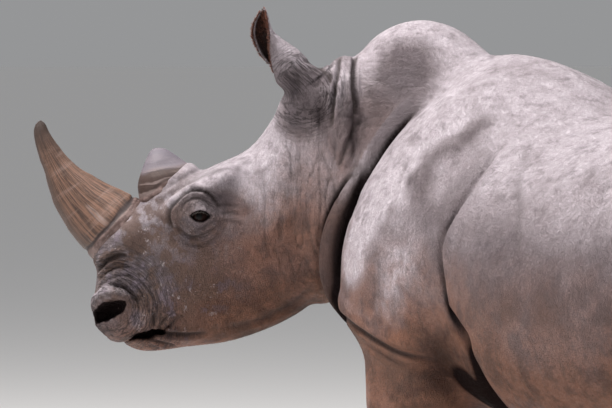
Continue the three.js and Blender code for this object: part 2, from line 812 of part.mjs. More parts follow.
function makeNails(leg) {
  const rows = leg.foot === FORE_FOOT ? FORE_LEG : HIND_LEG;
  const [, shift, long, , wide] = rows[rows.length - 2];
  const [footX, footY] = [leg.foot.x + leg.stride + shift, leg.side * leg.foot.y];
  const aboveFloor = behindPlane([0, 0, NAIL_LIFT], [0, 0, -1]);
  NAILS.forEach(([turn, half, high, deep], i) => {
    const angle = rad(turn);
    const x = footX - Math.cos(angle) * (long - deep / 2);
    const y = footY + Math.sin(angle) * (wide - deep / 2);
    const nail = (grow) => {
      const radii = [deep + grow, high + grow, half + grow];
      return ballSolid([x, y, high - NAIL_SINK], radii, -angle, [8, 5]);
    };
    parts[`nail_${leg.name}_${i + 1}`] = nail(0).intersect(aboveFloor);
    seat(`leg_${leg.name}`, nail(GAP));
  });
}

// ---------------------------------------------------------------- the exported group

makeFlesh();
makeHeadParts();
parts.tail = tailSolid(0);
seat("trunk", tailSolid(GAP));
legs.forEach(makeNails);

const FINISH = {
  hide: { color: 0x9a8f88, roughness: 0.92 },
  horn: { color: 0x6f6357, roughness: 0.75 },
  nail: { color: 0x7a7066, roughness: 0.8 },
  eye: { color: 0x1c1410, roughness: 0.15 },
};

const rhinoceros = new THREE.Group();
rhinoceros.position.set(-MIDDLE.x, -MIDDLE.y, 0);
for (const [name, solid] of Object.entries(parts)) {
  const kind = ["horn", "nail", "eye"].find((word) => name.startsWith(word)) ?? "hide";
  const material = new THREE.MeshStandardMaterial({ ...FINISH[kind], metalness: 0 });
  material.name = kind;
  const mesh = new THREE.Mesh(toGeometry(solid), material);
  mesh.name = name;
  rhinoceros.add(mesh);
}

export default rhinoceros;
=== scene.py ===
"""The looks of a life-size white rhinoceros: one skin over the flesh, eyes, horns, nails,
and the short hair of the ears, lids and tail. Forms are worked out in millimetres in the
animal's own frame, whose ground point lies between the fore feet, and placed in metres."""
import math

import bmesh
import bpy
import numpy as np
from mathutils import Matrix, Vector


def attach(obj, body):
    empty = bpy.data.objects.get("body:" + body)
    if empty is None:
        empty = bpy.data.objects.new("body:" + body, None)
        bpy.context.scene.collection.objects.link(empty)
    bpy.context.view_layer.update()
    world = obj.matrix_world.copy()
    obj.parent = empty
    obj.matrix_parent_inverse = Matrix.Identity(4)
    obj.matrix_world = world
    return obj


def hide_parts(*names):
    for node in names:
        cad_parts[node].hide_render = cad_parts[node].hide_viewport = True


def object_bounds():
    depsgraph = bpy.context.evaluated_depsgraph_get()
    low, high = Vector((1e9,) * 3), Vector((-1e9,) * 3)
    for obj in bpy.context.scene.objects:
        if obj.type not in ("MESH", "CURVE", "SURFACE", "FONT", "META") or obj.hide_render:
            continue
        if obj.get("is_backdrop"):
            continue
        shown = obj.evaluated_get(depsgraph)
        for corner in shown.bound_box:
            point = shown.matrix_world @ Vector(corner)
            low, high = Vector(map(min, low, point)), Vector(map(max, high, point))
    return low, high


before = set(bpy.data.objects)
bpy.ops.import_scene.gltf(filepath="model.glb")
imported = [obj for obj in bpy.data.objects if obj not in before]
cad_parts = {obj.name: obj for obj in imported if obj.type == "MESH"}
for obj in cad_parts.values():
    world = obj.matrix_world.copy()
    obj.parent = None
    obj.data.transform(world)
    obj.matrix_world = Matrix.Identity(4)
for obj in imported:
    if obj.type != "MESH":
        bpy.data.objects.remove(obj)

CAD_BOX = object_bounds()

# ---------------------------------------------------------------- driving dimensions (mm)

MIDDLE = np.array([504.4, -132.9, 0.0])  # middle of the plan, the frame's origin
HEAD_YAW, HEAD_PITCH = 50, 42
POLL = np.array([-500.0, -203.0, 1554.0])
FORE_FOOT, HIND_FOOT = (0, 300), (1610, 275)
STRIDE = {"fore_right": -90, "hind_right": -130, "hind_left": 50}
EYE_AT, EYE_RADIUS = (528, 150, -38), 24
LIDS_HALF, LIDS_ABOVE, LIDS_BELOW = 25, 12, 14  # the almond between the lids
LID = 5  # their thickness over the eyeball

# [x, top, widest level, bottom, half width, arch power, keel power]
TRUNK = [
    [-330, 1400, 1090, 905, 270, 1.5, 2.0],
    [-190, 1560, 1090, 840, 372, 1.5, 2.0],
    [0, 1620, 1080, 668, 412, 1.5, 2.0],
    [160, 1618, 1060, 610, 440, 1.55, 2.1],
    [330, 1558, 1030, 578, 490, 1.65, 2.2],
    [510, 1478, 990, 558, 542, 1.8, 2.3],
    [760, 1452, 970, 540, 578, 2.0, 2.3],
    [1000, 1470, 970, 550, 584, 2.0, 2.3],
    [1230, 1530, 1000, 605, 550, 1.9, 2.2],
    [1450, 1568, 1040, 695, 485, 1.8, 2.1],
    [1680, 1518, 1080, 790, 430, 1.9, 2.1],
    [1880, 1375, 1090, 880, 325, 2.0, 2.1],
    [1990, 1235, 1100, 970, 170, 2.0, 2.0],
]
# The neck's bent line in plan, and the same sections along it.
NECK_LINE = [(120, 0), (-54, 0), (-150, -10), (-240, -32), (-330, -68), (-400, -112),
             (-455, -160), (-560, -280)]
NECK = [
    [0, 1520, 1130, 800, 280, 1.6, 2.0],
    [174, 1570, 1110, 800, 330, 1.5, 2.0],
    [270, 1615, 1100, 845, 338, 1.5, 2.0],
    [363, 1640, 1095, 865, 332, 1.5, 2.0],
    [460, 1635, 1100, 890, 305, 1.5, 2.0],
    [543, 1610, 1130, 925, 270, 1.6, 2.0],
    [616, 1562, 1180, 955, 230, 1.8, 2.0],
    [700, 1530, 1200, 970, 190, 2.0, 2.0],
    [780, 1400, 1220, 1080, 90, 2.0, 2.0],
]
# In the skull's frame: [forward, top, widest level, bottom, half width, arch, keel]
HEAD = [
    [-60, -15, -150, -330, 150, 2.0, 2.0],
    [60, 35, -120, -405, 162, 1.9, 2.1],
    [170, 32, -120, -438, 162, 1.9, 2.2],
    [300, 11, -130, -446, 160, 2.0, 2.3],
    [420, 45, -130, -438, 158, 2.0, 2.3],
    [520, 74, -130, -430, 142, 2.0, 2.3],
    [620, 96, -130, -400, 124, 2.2, 2.3],
    [720, 104, -130, -354, 116, 2.7, 2.3],
    [800, 72, -130, -298, 114, 2.7, 2.3],
    [860, 22, -135, -250, 116, 2.5, 2.3],
    [920, -22, -118, -188, 112, 2.4, 2.4],
    [958, -66, -100, -136, 72, 2.2, 2.2],
]
# Legs and tail from above down: [z, x shift, half length, side shift, half width]
FORE_LEG = [
    [1050, 60, 190, 10, 130],
    [830, 20, 178, 0, 146],
    [620, 0, 153, 0, 130],
    [500, -12, 126, 0, 112],
    [430, -16, 122, 0, 108],
    [300, -2, 100, 0, 96],
    [180, 4, 101, 0, 98],
    [90, -14, 120, 0, 112],
    [25, -20, 128, 0, 120],
    [-60, -20, 122, 0, 114],
]
HIND_LEG = [
    [1250, -130, 300, -15, 150],
    [1000, -70, 320, 0, 160],
    [820, -60, 270, 8, 150],
    [640, 0, 182, 8, 124],
    [500, 62, 140, 6, 104],
    [440, 66, 126, 4, 98],
    [320, 42, 98, 0, 90],
    [180, 22, 98, -2, 94],
    [90, 0, 114, -4, 106],
    [25, -8, 120, -4, 112],
    [-60, -8, 114, -4, 106],
]
TAIL = [
    [1372, -135, 30, 0, 44],
    [1320, -42, 54, 0, 52],
    [1240, 12, 42, 0, 44],
    [1100, 42, 29, 0, 33],
    [900, 50, 21, 0, 25],
    [780, 50, 17, 0, 26],
    [700, 50, 8, 0, 14],
]
TAIL_ROOT = 1985
# [rear edge forward, rear edge up, front edge forward, front edge up, half width]
FRONT_HORN = [
    [630, 85, 838, 40, 92],
    [634, 118, 843, 92, 92],
    [650, 162, 840, 168, 74],
    [672, 212, 830, 222, 61],
    [684, 252, 819, 266, 52],
    [698, 294, 800, 308, 43],
    [702, 346, 779, 350, 33],
    [699, 388, 760, 396, 26],
    [694, 424, 742, 430, 20],
    [686, 450, 724, 456, 14],
    [688, 466, 708, 467, 7],
]
REAR_HORN = [
    [458, 52, 640, 96, 76],
    [460, 98, 618, 130, 70],
    [471, 140, 600, 150, 56],
    [478, 166, 572, 168, 40],
    [490, 182, 545, 181, 24],
    [502, 191, 524, 190, 9],
]
# [up, forward, side, radius, outer rim angle, inner rim angle, wall]
EAR = [
    [36, 58, 108, 60, 6, -6, 40],
    [70, 61, 113, 57, 6, -6, 38],
    [98, 63, 119, 55, 8, -8, 16],
    [125, 58, 126, 48, 14, -26, 9],
    [155, 59, 132, 42, 50, -14, 7],
    [185, 61, 137, 37, 88, -2, 6],
    [215, 58, 141, 32, 138, 4, 5],
    [240, 47, 145, 30, 172, 10, 5],
    [262, 29, 149, 25, 204, 32, 4],
    [275, 13, 152, 16, 222, 70, 4],
]
LEAST_WALL = 9.0  # the thinnest leaf that the skin's grid holds

# ---------------------------------------------------------------- fields, negative inside

FAR = 400.0  # what a field says of a point well away from it


def turn(x=0, y=0, z=0):
    """A rotation in degrees about x, then y, then z."""
    return np.array((Matrix.Rotation(math.radians(z), 3, "Z")
                     @ Matrix.Rotation(math.radians(y), 3, "Y")
                     @ Matrix.Rotation(math.radians(x), 3, "X")))


def rows_curve(rows):
    """A smooth curve through rows of [position, values...], held flat past its ends."""
    rows = np.array(rows, float)
    at, values = rows[:, 0], rows[:, 1:]
    before = np.maximum(np.arange(len(at)) - 1, 0)
    after = np.minimum(np.arange(len(at)) + 1, len(at) - 1)
    slopes = (values[after] - values[before]) / (at[after] - at[before])[:, None]
    sign = -1 if at[0] > at[-1] else 1

    def curve(position):
        i = np.clip(np.searchsorted(sign * at, sign * position) - 1, 0, len(at) - 2)
        span = at[i + 1] - at[i]
        t = np.clip((position - at[i]) / span, 0, 1)
        t2, t3 = t * t, t * t * t
        weights = (2 * t3 - 3 * t2 + 1, (t3 - 2 * t2 + t) * span,
                   3 * t2 - 2 * t3, (t3 - t2) * span)
        parts = (values[i], slopes[i], values[i + 1], slopes[i + 1])
        return sum(w[:, None] * part for w, part in zip(weights, parts)).T

    return curve


def capped(inner, beyond):
    """A form that ends flat, with a field that stays smooth round the rim."""
    outside = np.hypot(np.maximum(inner, 0), np.maximum(beyond, 0))
    return outside + np.minimum(np.maximum(inner, beyond), 0)


def section_loft(rows):
    """Egg-shaped sections strung along one axis."""
    curve = rows_curve(rows)
    first, last = rows[0][0], rows[-1][0]

    def field(along, side, up):
        top, level, bottom, half, arch, keel = curve(np.clip(along, first, last))
        above = up > level
        tall = np.where(above, top - level, level - bottom)
        wide, high = np.abs(side) / half, np.abs(up - level) / tall
        share = np.clip(high / 0.75, 0, 1)
        power = 2 + (np.where(above, arch, keel) - 2) * share * (1.5 - 0.5 * share ** 2)
        gauge = (wide ** power + high ** power) ** (1 / power)
        inner = (gauge - 1) * np.minimum(half, (top - bottom) / 2)
        return capped(inner, np.maximum(first - along, along - last))

    return field


def column_loft(rows, power=2.3):
    """Rounded sections strung down a leg or a tail."""
    curve = rows_curve(rows)
    top, bottom = rows[0][0], rows[-1][0]

    def field(x, y, z):
        shift_x, long, shift_y, wide = curve(np.clip(z, bottom, top))
        gauge = ((np.abs(x - shift_x) / long) ** power
                 + (np.abs(y - shift_y) / wide) ** power) ** (1 / power)
        inner = (gauge - 1) * np.minimum(long, wide)
        return capped(inner, np.maximum(bottom - z, z - top))

    return field


def within(low, high, field):
    """Works a field out only inside a box, which keeps the meshing quick."""
    def boxed(x, y, z):
        inside = ((x > low[0]) & (x < high[0]) & (y > low[1]) & (y < high[1])
                  & (z > low[2]) & (z < high[2]))
        value = np.full(len(x), FAR)
        if inside.any():
            value[inside] = field(x[inside], y[inside], z[inside])
        return value

    return boxed


def lump(centre, radii, angles=(0, 0, 0)):
    """An ellipsoid, turned by degrees about its own axes."""
    frame_of = turn(*angles)
    radii = np.array(radii, float)

    def field(x, y, z):
        local = (np.stack([x, y, z], 1) - centre) @ frame_of / radii
        reach = np.linalg.norm(local, axis=1)
        slope = np.linalg.norm(local / radii, axis=1)
        return reach * (reach - 1) / np.maximum(slope, 1e-9)

    return field


def line_distance(points, spots):
    """Distance from each spot to a line of points, and how far along it, from 0 to 1."""
    points = np.array(points, float)
    best, share = np.full(len(spots), np.inf), np.zeros(len(spots))
    for i, (a, b) in enumerate(zip(points[:-1], points[1:])):
        t = np.clip((spots - a) @ (b - a) / ((b - a) @ (b - a)), 0, 1)
        gap = np.linalg.norm(spots - a - t[:, None] * (b - a), axis=1)
        near = gap < best
        best = np.where(near, gap, best)
        share = np.where(near, (i + t) / (len(points) - 1), share)
    return best, share


def smooth_line(points, pieces=4):
    """More points on a smooth curve through the given ones."""
    rows = [[n, *point] for n, point in enumerate(points)]
    steps = np.linspace(0, len(points) - 1, (len(points) - 1) * pieces + 1)
    return rows_curve(rows)(steps).T


def strand(points, radius, end_radius):
    """A round strand along a smooth line of points."""
    line = smooth_line(points)
    margin = 150 + max(radius, end_radius)

    def field(x, y, z):
        gap, share = line_distance(line, np.stack([x, y, z], 1))
        return gap - radius - share * (end_radius - radius)

    return within(line.min(0) - margin, line.max(0) + margin, field)


def blend(a, b, width):
    """Joins two fields, rounding the corner between them over about the given width."""
    near = np.maximum(width - np.abs(a - b), 0) / width
    return np.minimum(a, b) - near * near * width / 4


def carve(a, b, width):
    """Takes the second field out of the first, with a rounded edge."""
    return -blend(-a, b, width)


# ---------------------------------------------------------------- the head's form

HEAD_TURN = turn(0, -HEAD_PITCH, HEAD_YAW)


def to_skull(points):
    """Points in the skull's own frame: forward, to the right side, up."""
    local = (points - POLL) @ HEAD_TURN
    return local * [-1, 1, 1]


def from_skull(points):
    return (np.asarray(points, float) * [-1, 1, 1]) @ HEAD_TURN.T + POLL


skull = section_loft(HEAD)
HEAD_LUMPS = [
    (lump((330, 88, -262), (165, 72, 165), (0, -25, 0)), 70),  # chewing muscle
    (lump((490, 106, 6), (112, 56, 38), (0, -6, -8)), 60),  # brow and cheekbone
    (lump((526, 128, -40), (62, 40, 56), (0, -40, 0)), 26),  # mound round the eye
    (lump((100, 95, -20), (90, 75, 80)), 60),  # root of the ear
    (lump((64, 118, -14), (60, 64, 58), (0, 12, 0)), 34),  # the fold behind it
    (lump((736, 0, 52), (112, 108, 60)), 40),  # boss of the front horn
    (lump((545, 0, 66), (98, 92, 46), (0, 8, 0)), 30),  # boss of the rear horn
    (lump((838, 0, -20), (62, 112, 50), (0, 26, 0)), 26),  # pad of the nose
    (lump((882, 54, -70), (66, 58, 60)), 30),  # round the nostril
    (lump((896, 40, -124), (50, 66, 34), (0, 18, 0)), 16),  # upper lip
    (lump((850, 0, -212), (90, 84, 42), (0, -32, 0)), 16),  # lower lip
]
NOSTRIL_RIM = strand([(914, 62, -34), (902, 90, -22), (874, 110, -26), (850, 116, -44),
                      (840, 112, -72)], 21, 14)
LIP_EDGE = strand([(926, 44, -130), (906, 84, -132), (882, 98, -142), (860, 102, -158)], 14, 10)
NOSTRIL = lump((906, 106, -64), (50, 76, 21), (0, -20, 26))
MOUTH = [(1010, -150), (935, -160), (893, -170), (866, -190), (838, -203), (806, -208)]
MOUTH_DEPTH = 44


def eyeball(forward, side, up, grow=0.0):
    gap = np.stack([forward, side, up], 1) - EYE_AT
    return np.linalg.norm(gap, axis=1) - EYE_RADIUS - grow


def lid_opening(forward, side, up):
    """The almond between the lids; its long axis is level as the head is held."""
    tilt = math.radians(HEAD_PITCH)
    ahead, above = forward - EYE_AT[0], up - EYE_AT[2]
    along = ahead * math.cos(tilt) + above * math.sin(tilt)
    across = above * math.cos(tilt) - ahead * math.sin(tilt)
    arch = np.maximum(1 - (along / LIDS_HALF) ** 2, 0) ** 0.8
    gap = np.where(across > 0, across - LIDS_ABOVE * arch, -across - LIDS_BELOW * arch)
    return np.maximum(np.maximum(gap, np.abs(along) - LIDS_HALF), EYE_AT[1] - side)


EAR_ROOT, EAR_TIP = EAR[0][0], EAR[-1][0]
ear_rows = rows_curve([[*row[:5], row[5] + 360, row[6]] for row in EAR])


def ear_at(up):
    """The ear's forward and side place, radius, two rims and wall, at a height."""
    return ear_rows(np.clip(up, EAR_ROOT, EAR_TIP))


def ear_field(forward, side, up):
    """A rolled leaf of skin, open along one side."""
    f, s, radius, rim, other_rim, wall = ear_at(up)
    angle = np.degrees(np.arctan2(side - s, forward - f)) % 360
    reach = np.hypot(forward - f, side - s)
    middle = (rim + other_rim) / 2
    off = np.abs((angle - middle + 180) % 360 - 180)
    past = np.radians(np.maximum(off - (other_rim - rim) / 2, 0))
    wall = np.maximum(wall, LEAST_WALL)
    leaf_radius = radius - wall / 2
    gap = np.hypot(reach * np.cos(past) - leaf_radius, reach * np.sin(np.minimum(past, 1.57)))
    beyond = np.maximum(EAR_ROOT - up, up - EAR_TIP)
    return np.maximum(gap - wall / 2, beyond)


def head_field(x, y, z):
    forward, side, up = to_skull(np.stack([x, y, z], 1)).T
    side = np.abs(side)
    form = skull(forward, side, up)
    for shape, width in HEAD_LUMPS:
        form = blend(form, shape(forward, side, up), width)
    form = blend(form, NOSTRIL_RIM(forward, side, up), 12)
    form = blend(form, LIP_EDGE(forward, side, up), 12)
    form = carve(form, NOSTRIL(forward, side, up), 10)
    gap, share = line_distance(MOUTH, np.stack([forward, up], 1))
    lips = gap - 10 * np.sin(np.pi * np.clip(share * 1.5 - 0.45, 0, 1))
    form = carve(form, np.maximum(lips, -form - MOUTH_DEPTH), 20)
    form = blend(form, eyeball(forward, side, up, LID), 14)
    form = carve(form, lid_opening(forward, side, up), 3)
    return blend(form, ear_field(forward, side, up), 14)


# ---------------------------------------------------------------- body, neck and legs

trunk_form = section_loft(TRUNK)
neck_form = section_loft(NECK)
hump = lump((-294, -38, 1459), (234, 162, 266), (0, 1, 24))
croup = lump((1400, 0, 1450), (300, 210, 150), (0, 6, 0))
shoulder_blade = lump((10, 250, 1200), (185, 130, 370), (14, 30, 0))
upper_arm = lump((60, 352, 985), (280, 108, 235), (0, -12, 0))
thigh = lump((1520, 300, 1080), (330, 160, 330), (0, -10, 0))
stifle = lump((1360, 372, 800), (140, 90, 165), (0, -20, 0))
COLLAR = [(-200, -345, 925), (-250, -366, 985), (-272, -366, 1060), (-278, -350, 1130),
          (-274, -318, 1205), (-262, -290, 1270), (-238, -264, 1335), (-204, -242, 1390),
          (-168, -214, 1440), (-140, -184, 1480)]
collar_roll = strand(COLLAR, 62, 26)
NAPE_FOLD = [(-283, -300, 1290), (-312, -316, 1380), (-340, -296, 1480), (-392, -240, 1572),
             (-474, -180, 1594), (-552, -110, 1560), (-580, -55, 1470), (-540, -20, 1370)]
nape_fold = strand(NAPE_FOLD, 27, 20)
# The fold behind the shoulder, and the roll of skin over the forearm, on both sides.
SHOULDER_FOLD = [(348, 330, 1370), (341, 356, 1325), (330, 388, 1285), (314, 420, 1235),
                 (292, 440, 1175), (270, 454, 1127), (266, 458, 1086), (278, 458, 1033),
                 (292, 452, 979), (306, 448, 940), (345, 466, 898), (390, 480, 862)]
shoulder_fold = strand(SHOULDER_FOLD, -9, 10)
ARMPIT = [(390, 480, 862), (404, 460, 798), (404, 430, 745), (392, 396, 690), (366, 350, 600)]
armpit = strand(ARMPIT, 2, 80)
ARM_ROLL = [(-200, 384, 950), (-150, 406, 925), (-104, 414, 908), (-56, 420, 892), (-6, 424, 872),
            (46, 420, 852), (90, 410, 838), (140, 390, 830)]
arm_roll = strand(ARM_ROLL, 40, 26)
fore_leg = column_loft(FORE_LEG)
hind_leg = column_loft(HIND_LEG)
tail_column = column_loft(TAIL, 2)


def along_neck(x, y):
    """How far along the neck's bent line a point is, and how far off it to the side."""
    gaps, alongs, run = [], [], 0
    for i, ((ax, ay), (bx, by)) in enumerate(zip(NECK_LINE[:-1], NECK_LINE[1:])):
        length = math.hypot(bx - ax, by - ay)
        t = ((x - ax) * (bx - ax) + (y - ay) * (by - ay)) / length ** 2
        t = np.clip(t, -np.inf if i == 0 else 0, np.inf if i == len(NECK_LINE) - 2 else 1)
        gaps.append(np.hypot(x - ax - t * (bx - ax), y - ay - t * (by - ay)))
        alongs.append(run + t * length)
        run += length
    nearest = np.min(gaps, axis=0)
    weights = np.exp((nearest - np.array(gaps)) / 25)  # one smooth line on the bend's inside
    return (weights * alongs).sum(0) / weights.sum(0), nearest


def stride_at(y, z, right, left=0):
    """How far a leg on the right or the left is shifted at a height, most of it low down."""
    return np.where(y > 0, right, left) * np.clip(1.25 - z / 800, 0, 1)


def fore_stride(y, z):
    return stride_at(y, z, STRIDE["fore_right"])


def fore_leg_field(x, y, z):
    return fore_leg(x - FORE_FOOT[0] - fore_stride(y, z), np.abs(y) - FORE_FOOT[1], z)


def armpit_field(x, y, z):
    """The hollow behind the elbow, shallower on the right, where the leg is further ahead."""
    return armpit(x - fore_stride(y, z), np.abs(y), z) + 75 * (y > 0)


def hind_leg_field(x, y, z):
    stride = stride_at(y, z, STRIDE["hind_right"], STRIDE["hind_left"])
    return hind_leg(x - HIND_FOOT[0] - stride, np.abs(y) - HIND_FOOT[1], z)


def shoulder_field(x, y, z):
    side = np.abs(y)
    form = blend(upper_arm(x, side, z), shoulder_blade(x, side, z), 120)
    form = blend(form, fore_leg_field(x, y, z), 35)
    return blend(form, arm_roll(x, side, z), 14)


def haunch_field(x, y, z):
    side = np.abs(y)
    form = blend(thigh(x, side, z), stifle(x, side, z), 90)
    return blend(form, hind_leg_field(x, y, z), 90)


def bare_neck_field(x, y, z):
    along, side = along_neck(x, y)
    form = blend(neck_form(along, side, z), hump(x, y, z), 50 + 110 * np.clip(y / 260, 0, 1))
    return blend(form, nape_fold(x, y, z), 12)


def neck_field(x, y, z):
    softness = 12 + 50 * np.clip((z - 1330) / 150, 0, 1)
    return blend(bare_neck_field(x, y, z), collar_roll(x, y, z), softness)


parts = {
    "trunk": within((-600, -900, 300), (2300, 900, 1900), trunk_form),
    "croup": within((900, -500, 1100), (1900, 500, 1900), croup),
    "haunch": within((900, -800, -200), (2200, 800, 1700), haunch_field),
    "shoulder": within((-500, -800, -200), (600, 800, 1800), shoulder_field),
    "tail": within((1700, -250, 500), (2250, 250, 1600),
                   lambda x, y, z: tail_column(x - TAIL_ROOT, y, z)),
    "neck": within((-900, -800, 500), (450, 800, 1950), neck_field),
    "head": within((-1400, -1200, 500), (-100, 450, 2000), head_field),
}


def body_field(x, y, z):
    body = blend(parts["trunk"](x, y, z), parts["croup"](x, y, z), 120)
    body = blend(body, parts["haunch"](x, y, z), 100)
    body = blend(body, parts["shoulder"](x, y, z), 50 + 75 * np.clip((z - 900) / 500, 0, 1))
    faint = 5 + 30 * np.clip((1060 - z) / 140, 0, 1)
    body = carve(body, shoulder_fold(x, np.abs(y), z) + faint * (y > 0), 46)
    body = carve(body, armpit_field(x, y, z), 28)
    return blend(body, parts["tail"](x, y, z), 40)


def front_field(x, y, z):
    return blend(parts["neck"](x, y, z), parts["head"](x, y, z), 90)


def flesh_field(x, y, z):
    fold = 12 + 93 * np.clip(np.maximum((y + 40) / 260, (z - 1400) / 280), 0, 1)
    return np.maximum(blend(body_field(x, y, z), front_field(x, y, z), fold), -z)


# ---------------------------------------------------------------- meshing the field

def steps_between(stops):
    """Grid lines through stops of (position, cell size from there on)."""
    lines = [stops[0][0]]
    for (start, cell), (end, _) in zip(stops[:-1], stops[1:]):
        count = max(1, round((end - start) / cell))
        lines += list(start + (end - start) * (np.arange(count) + 1) / count)
    return np.array(lines)


BATCH = 400000  # points worked out in one go
SPARE = 1.15, 20  # how much a block's middle value may mislead about its corners


def sample_blocks(field, lines, block=16):
    """The field on a grid, worked out in full only in blocks that the surface may cross."""
    shape = [len(axis) for axis in lines]
    values = np.empty(shape, np.float32)
    starts = [np.arange(0, n - 1, block) for n in shape]
    boxes = np.stack(np.meshgrid(*starts, indexing="ij"), -1).reshape(-1, 3)
    ends = np.minimum(boxes + block, np.array(shape) - 1)
    low = np.stack([lines[n][boxes[:, n]] for n in range(3)], 1)
    high = np.stack([lines[n][ends[:, n]] for n in range(3)], 1)
    centre_values = field(*((low + high) / 2).T)
    reach = np.linalg.norm(high - low, axis=1) / 2
    pending, count = [], 0

    def flush():
        if not pending:
            return
        spots = np.concatenate([spot for _, spot in pending])
        found = field(*spots.T)
        at = 0
        for corner, spot in pending:
            sizes = tuple(e - s for s, e in corner)
            part = found[at:at + len(spot)].reshape(sizes)
            values[tuple(slice(s, e) for s, e in corner)] = part
            at += len(spot)
        pending.clear()

    for box, end, value, far in zip(boxes, ends, centre_values, reach):
        corner = [(box[n], shape[n] if end[n] == shape[n] - 1 else end[n]) for n in range(3)]
        if abs(value) > far * SPARE[0] + SPARE[1]:
            values[tuple(slice(s, e) for s, e in corner)] = value
            continue
        grid = np.meshgrid(*(lines[n][s:e] for n, (s, e) in enumerate(corner)), indexing="ij")
        spots = np.stack(grid, -1).reshape(-1, 3)
        pending.append((corner, spots))
        count += len(spots)
        if count > BATCH:
            flush()
            count = 0
    flush()
    return values


def surface_net(values, lines):
    """One vertex in each cell that the surface crosses, one quad on each crossed edge."""
    nx, ny, nz = (n - 1 for n in values.shape)
    inside = values < 0
    corners = [(a & 1, (a >> 1) & 1, a >> 2) for a in range(8)]
    total = sum(inside[i:i + nx, j:j + ny, k:k + nz].astype(np.int8) for i, j, k in corners)
    cells = np.argwhere((total > 0) & (total < 8))
    corner_values = np.stack([values[tuple((cells + c).T)] for c in corners], 1)
    mean, crossings = np.zeros((len(cells), 3)), np.zeros(len(cells))
    for a in range(8):
        for bit in (1, 2, 4):
            if a & bit:
                continue
            v, w = corner_values[:, a], corner_values[:, a | bit]
            crossed = (v < 0) != (w < 0)
            t = np.where(crossed, v / np.where(crossed, v - w, 1), 0)[:, None]
            p, q = np.array(corners[a], float), np.array(corners[a | bit], float)
            mean += np.where(crossed[:, None], p + t * (q - p), 0)
            crossings += crossed
    mean /= crossings[:, None]
    spots = np.stack([lines[n][cells[:, n]]
                      + mean[:, n] * (lines[n][cells[:, n] + 1] - lines[n][cells[:, n]])
                      for n in range(3)], 1)
    vertex_of = np.full((nx, ny, nz), -1, np.int32)
    vertex_of[tuple(cells.T)] = np.arange(len(cells))
    quads = []
    for axis in range(3):
        u, v = np.eye(3, dtype=int)[(axis + 1) % 3], np.eye(3, dtype=int)[(axis + 2) % 3]
        here = tuple(slice(1, n) if m != axis else slice(0, n)
                     for m, n in enumerate((nx, ny, nz)))
        ahead = tuple(slice(s.start + (m == axis), s.stop + (m == axis))
                      for m, s in enumerate(here))
        crossed = np.argwhere(inside[here] != inside[ahead])
        crossed += [s.start for s in here]
        ring = np.stack([vertex_of[tuple((crossed - a * u - b * v).T)]
                         for a, b in ((0, 0), (1, 0), (1, 1), (0, 1))], 1)
        starts_inside = inside[tuple(crossed.T)]
        ring[~starts_inside] = ring[~starts_inside][:, ::-1]
        quads.append(ring)
    return spots, np.concatenate(quads)


def slope_of(field, spots, step=0.8):
    """A field's value and slope at each spot."""
    value = field(*spots.T)
    ahead = [field(*(spots + step * np.eye(3)[n]).T) for n in range(3)]
    return value, (np.stack(ahead, 1) - value[:, None]) / step


def onto_surface(field, spots, limit, rounds=2):
    """Moves each spot down the field's slope onto its surface, no further than a limit."""
    start = spots.copy()
    for _ in range(rounds):
        value, slope = slope_of(field, spots)
        square = np.maximum((slope ** 2).sum(1), 1e-2)
        spots = spots - (value / square)[:, None] * slope
        away = spots - start
        length = np.linalg.norm(away, axis=1, keepdims=True)
        spots = start + away * np.minimum(1, limit / np.maximum(length, 1e-9))
    return spots


# ---------------------------------------------------------------- from field to mesh

def smooth_noise(spots, cell, seed):
    """Lattice noise between -1 and 1, with lumps about one cell across."""
    table = np.random.default_rng(seed).uniform(-1, 1, (32, 32, 32))
    at = spots / cell
    low = np.floor(at).astype(int)
    t = at - low
    t = t * t * (3 - 2 * t)
    total = np.zeros(len(spots))
    for corner in range(8):
        step = np.array([corner & 1, (corner >> 1) & 1, corner >> 2])
        index = (low + step) % 32
        weight = np.where(step, t, 1 - t).prod(1)
        total += weight * table[index[:, 0], index[:, 1], index[:, 2]]
    return total


def vertex_normals(spots, quads):
    across = np.cross(spots[quads[:, 2]] - spots[quads[:, 0]],
                      spots[quads[:, 3]] - spots[quads[:, 1]])
    total = np.zeros_like(spots)
    for corner in range(4):
        for n in range(3):
            total[:, n] += np.bincount(quads[:, corner], across[:, n], len(spots))
    return total / np.maximum(np.linalg.norm(total, axis=1, keepdims=True), 1e-12)


def add_mesh(name, spots, faces, replaced, material):
    """A piece from points in millimetres in the animal's frame, and arrays of faces."""
    mesh = bpy.data.meshes.new(name)
    spots = (np.asarray(spots) - MIDDLE) / 1000
    sides = np.concatenate([np.full(len(part), part.shape[1]) for part in faces])
    loops = np.concatenate([part.ravel() for part in faces])
    mesh.vertices.add(len(spots))
    mesh.vertices.foreach_set("co", spots.astype(np.float32).ravel())
    mesh.loops.add(len(loops))
    mesh.loops.foreach_set("vertex_index", loops.astype(np.int32))
    mesh.polygons.add(len(sides))
    starts = np.concatenate([[0], np.cumsum(sides)[:-1]])
    mesh.polygons.foreach_set("loop_start", starts.astype(np.int32))
    mesh.update(calc_edges=True)
    mesh.polygons.foreach_set("use_smooth", np.ones(len(sides), bool))
    piece = bpy.data.objects.new(name, mesh)
    bpy.context.scene.collection.objects.link(piece)
    mesh.materials.append(material)
    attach(piece, "root")
    if replaced:
        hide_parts(*replaced)
    return piece


def give(piece, name, values):
    """Stores a value, or a vector, for each point of a piece."""
    values = np.asarray(values, np.float32)
    kind, key = ("FLOAT", "value") if values.ndim == 1 else ("FLOAT_VECTOR", "vector")
    piece.data.attributes.new(name, kind, "POINT").data.foreach_set(key, values.ravel())


# ---------------------------------------------------------------- folds and wrinkles

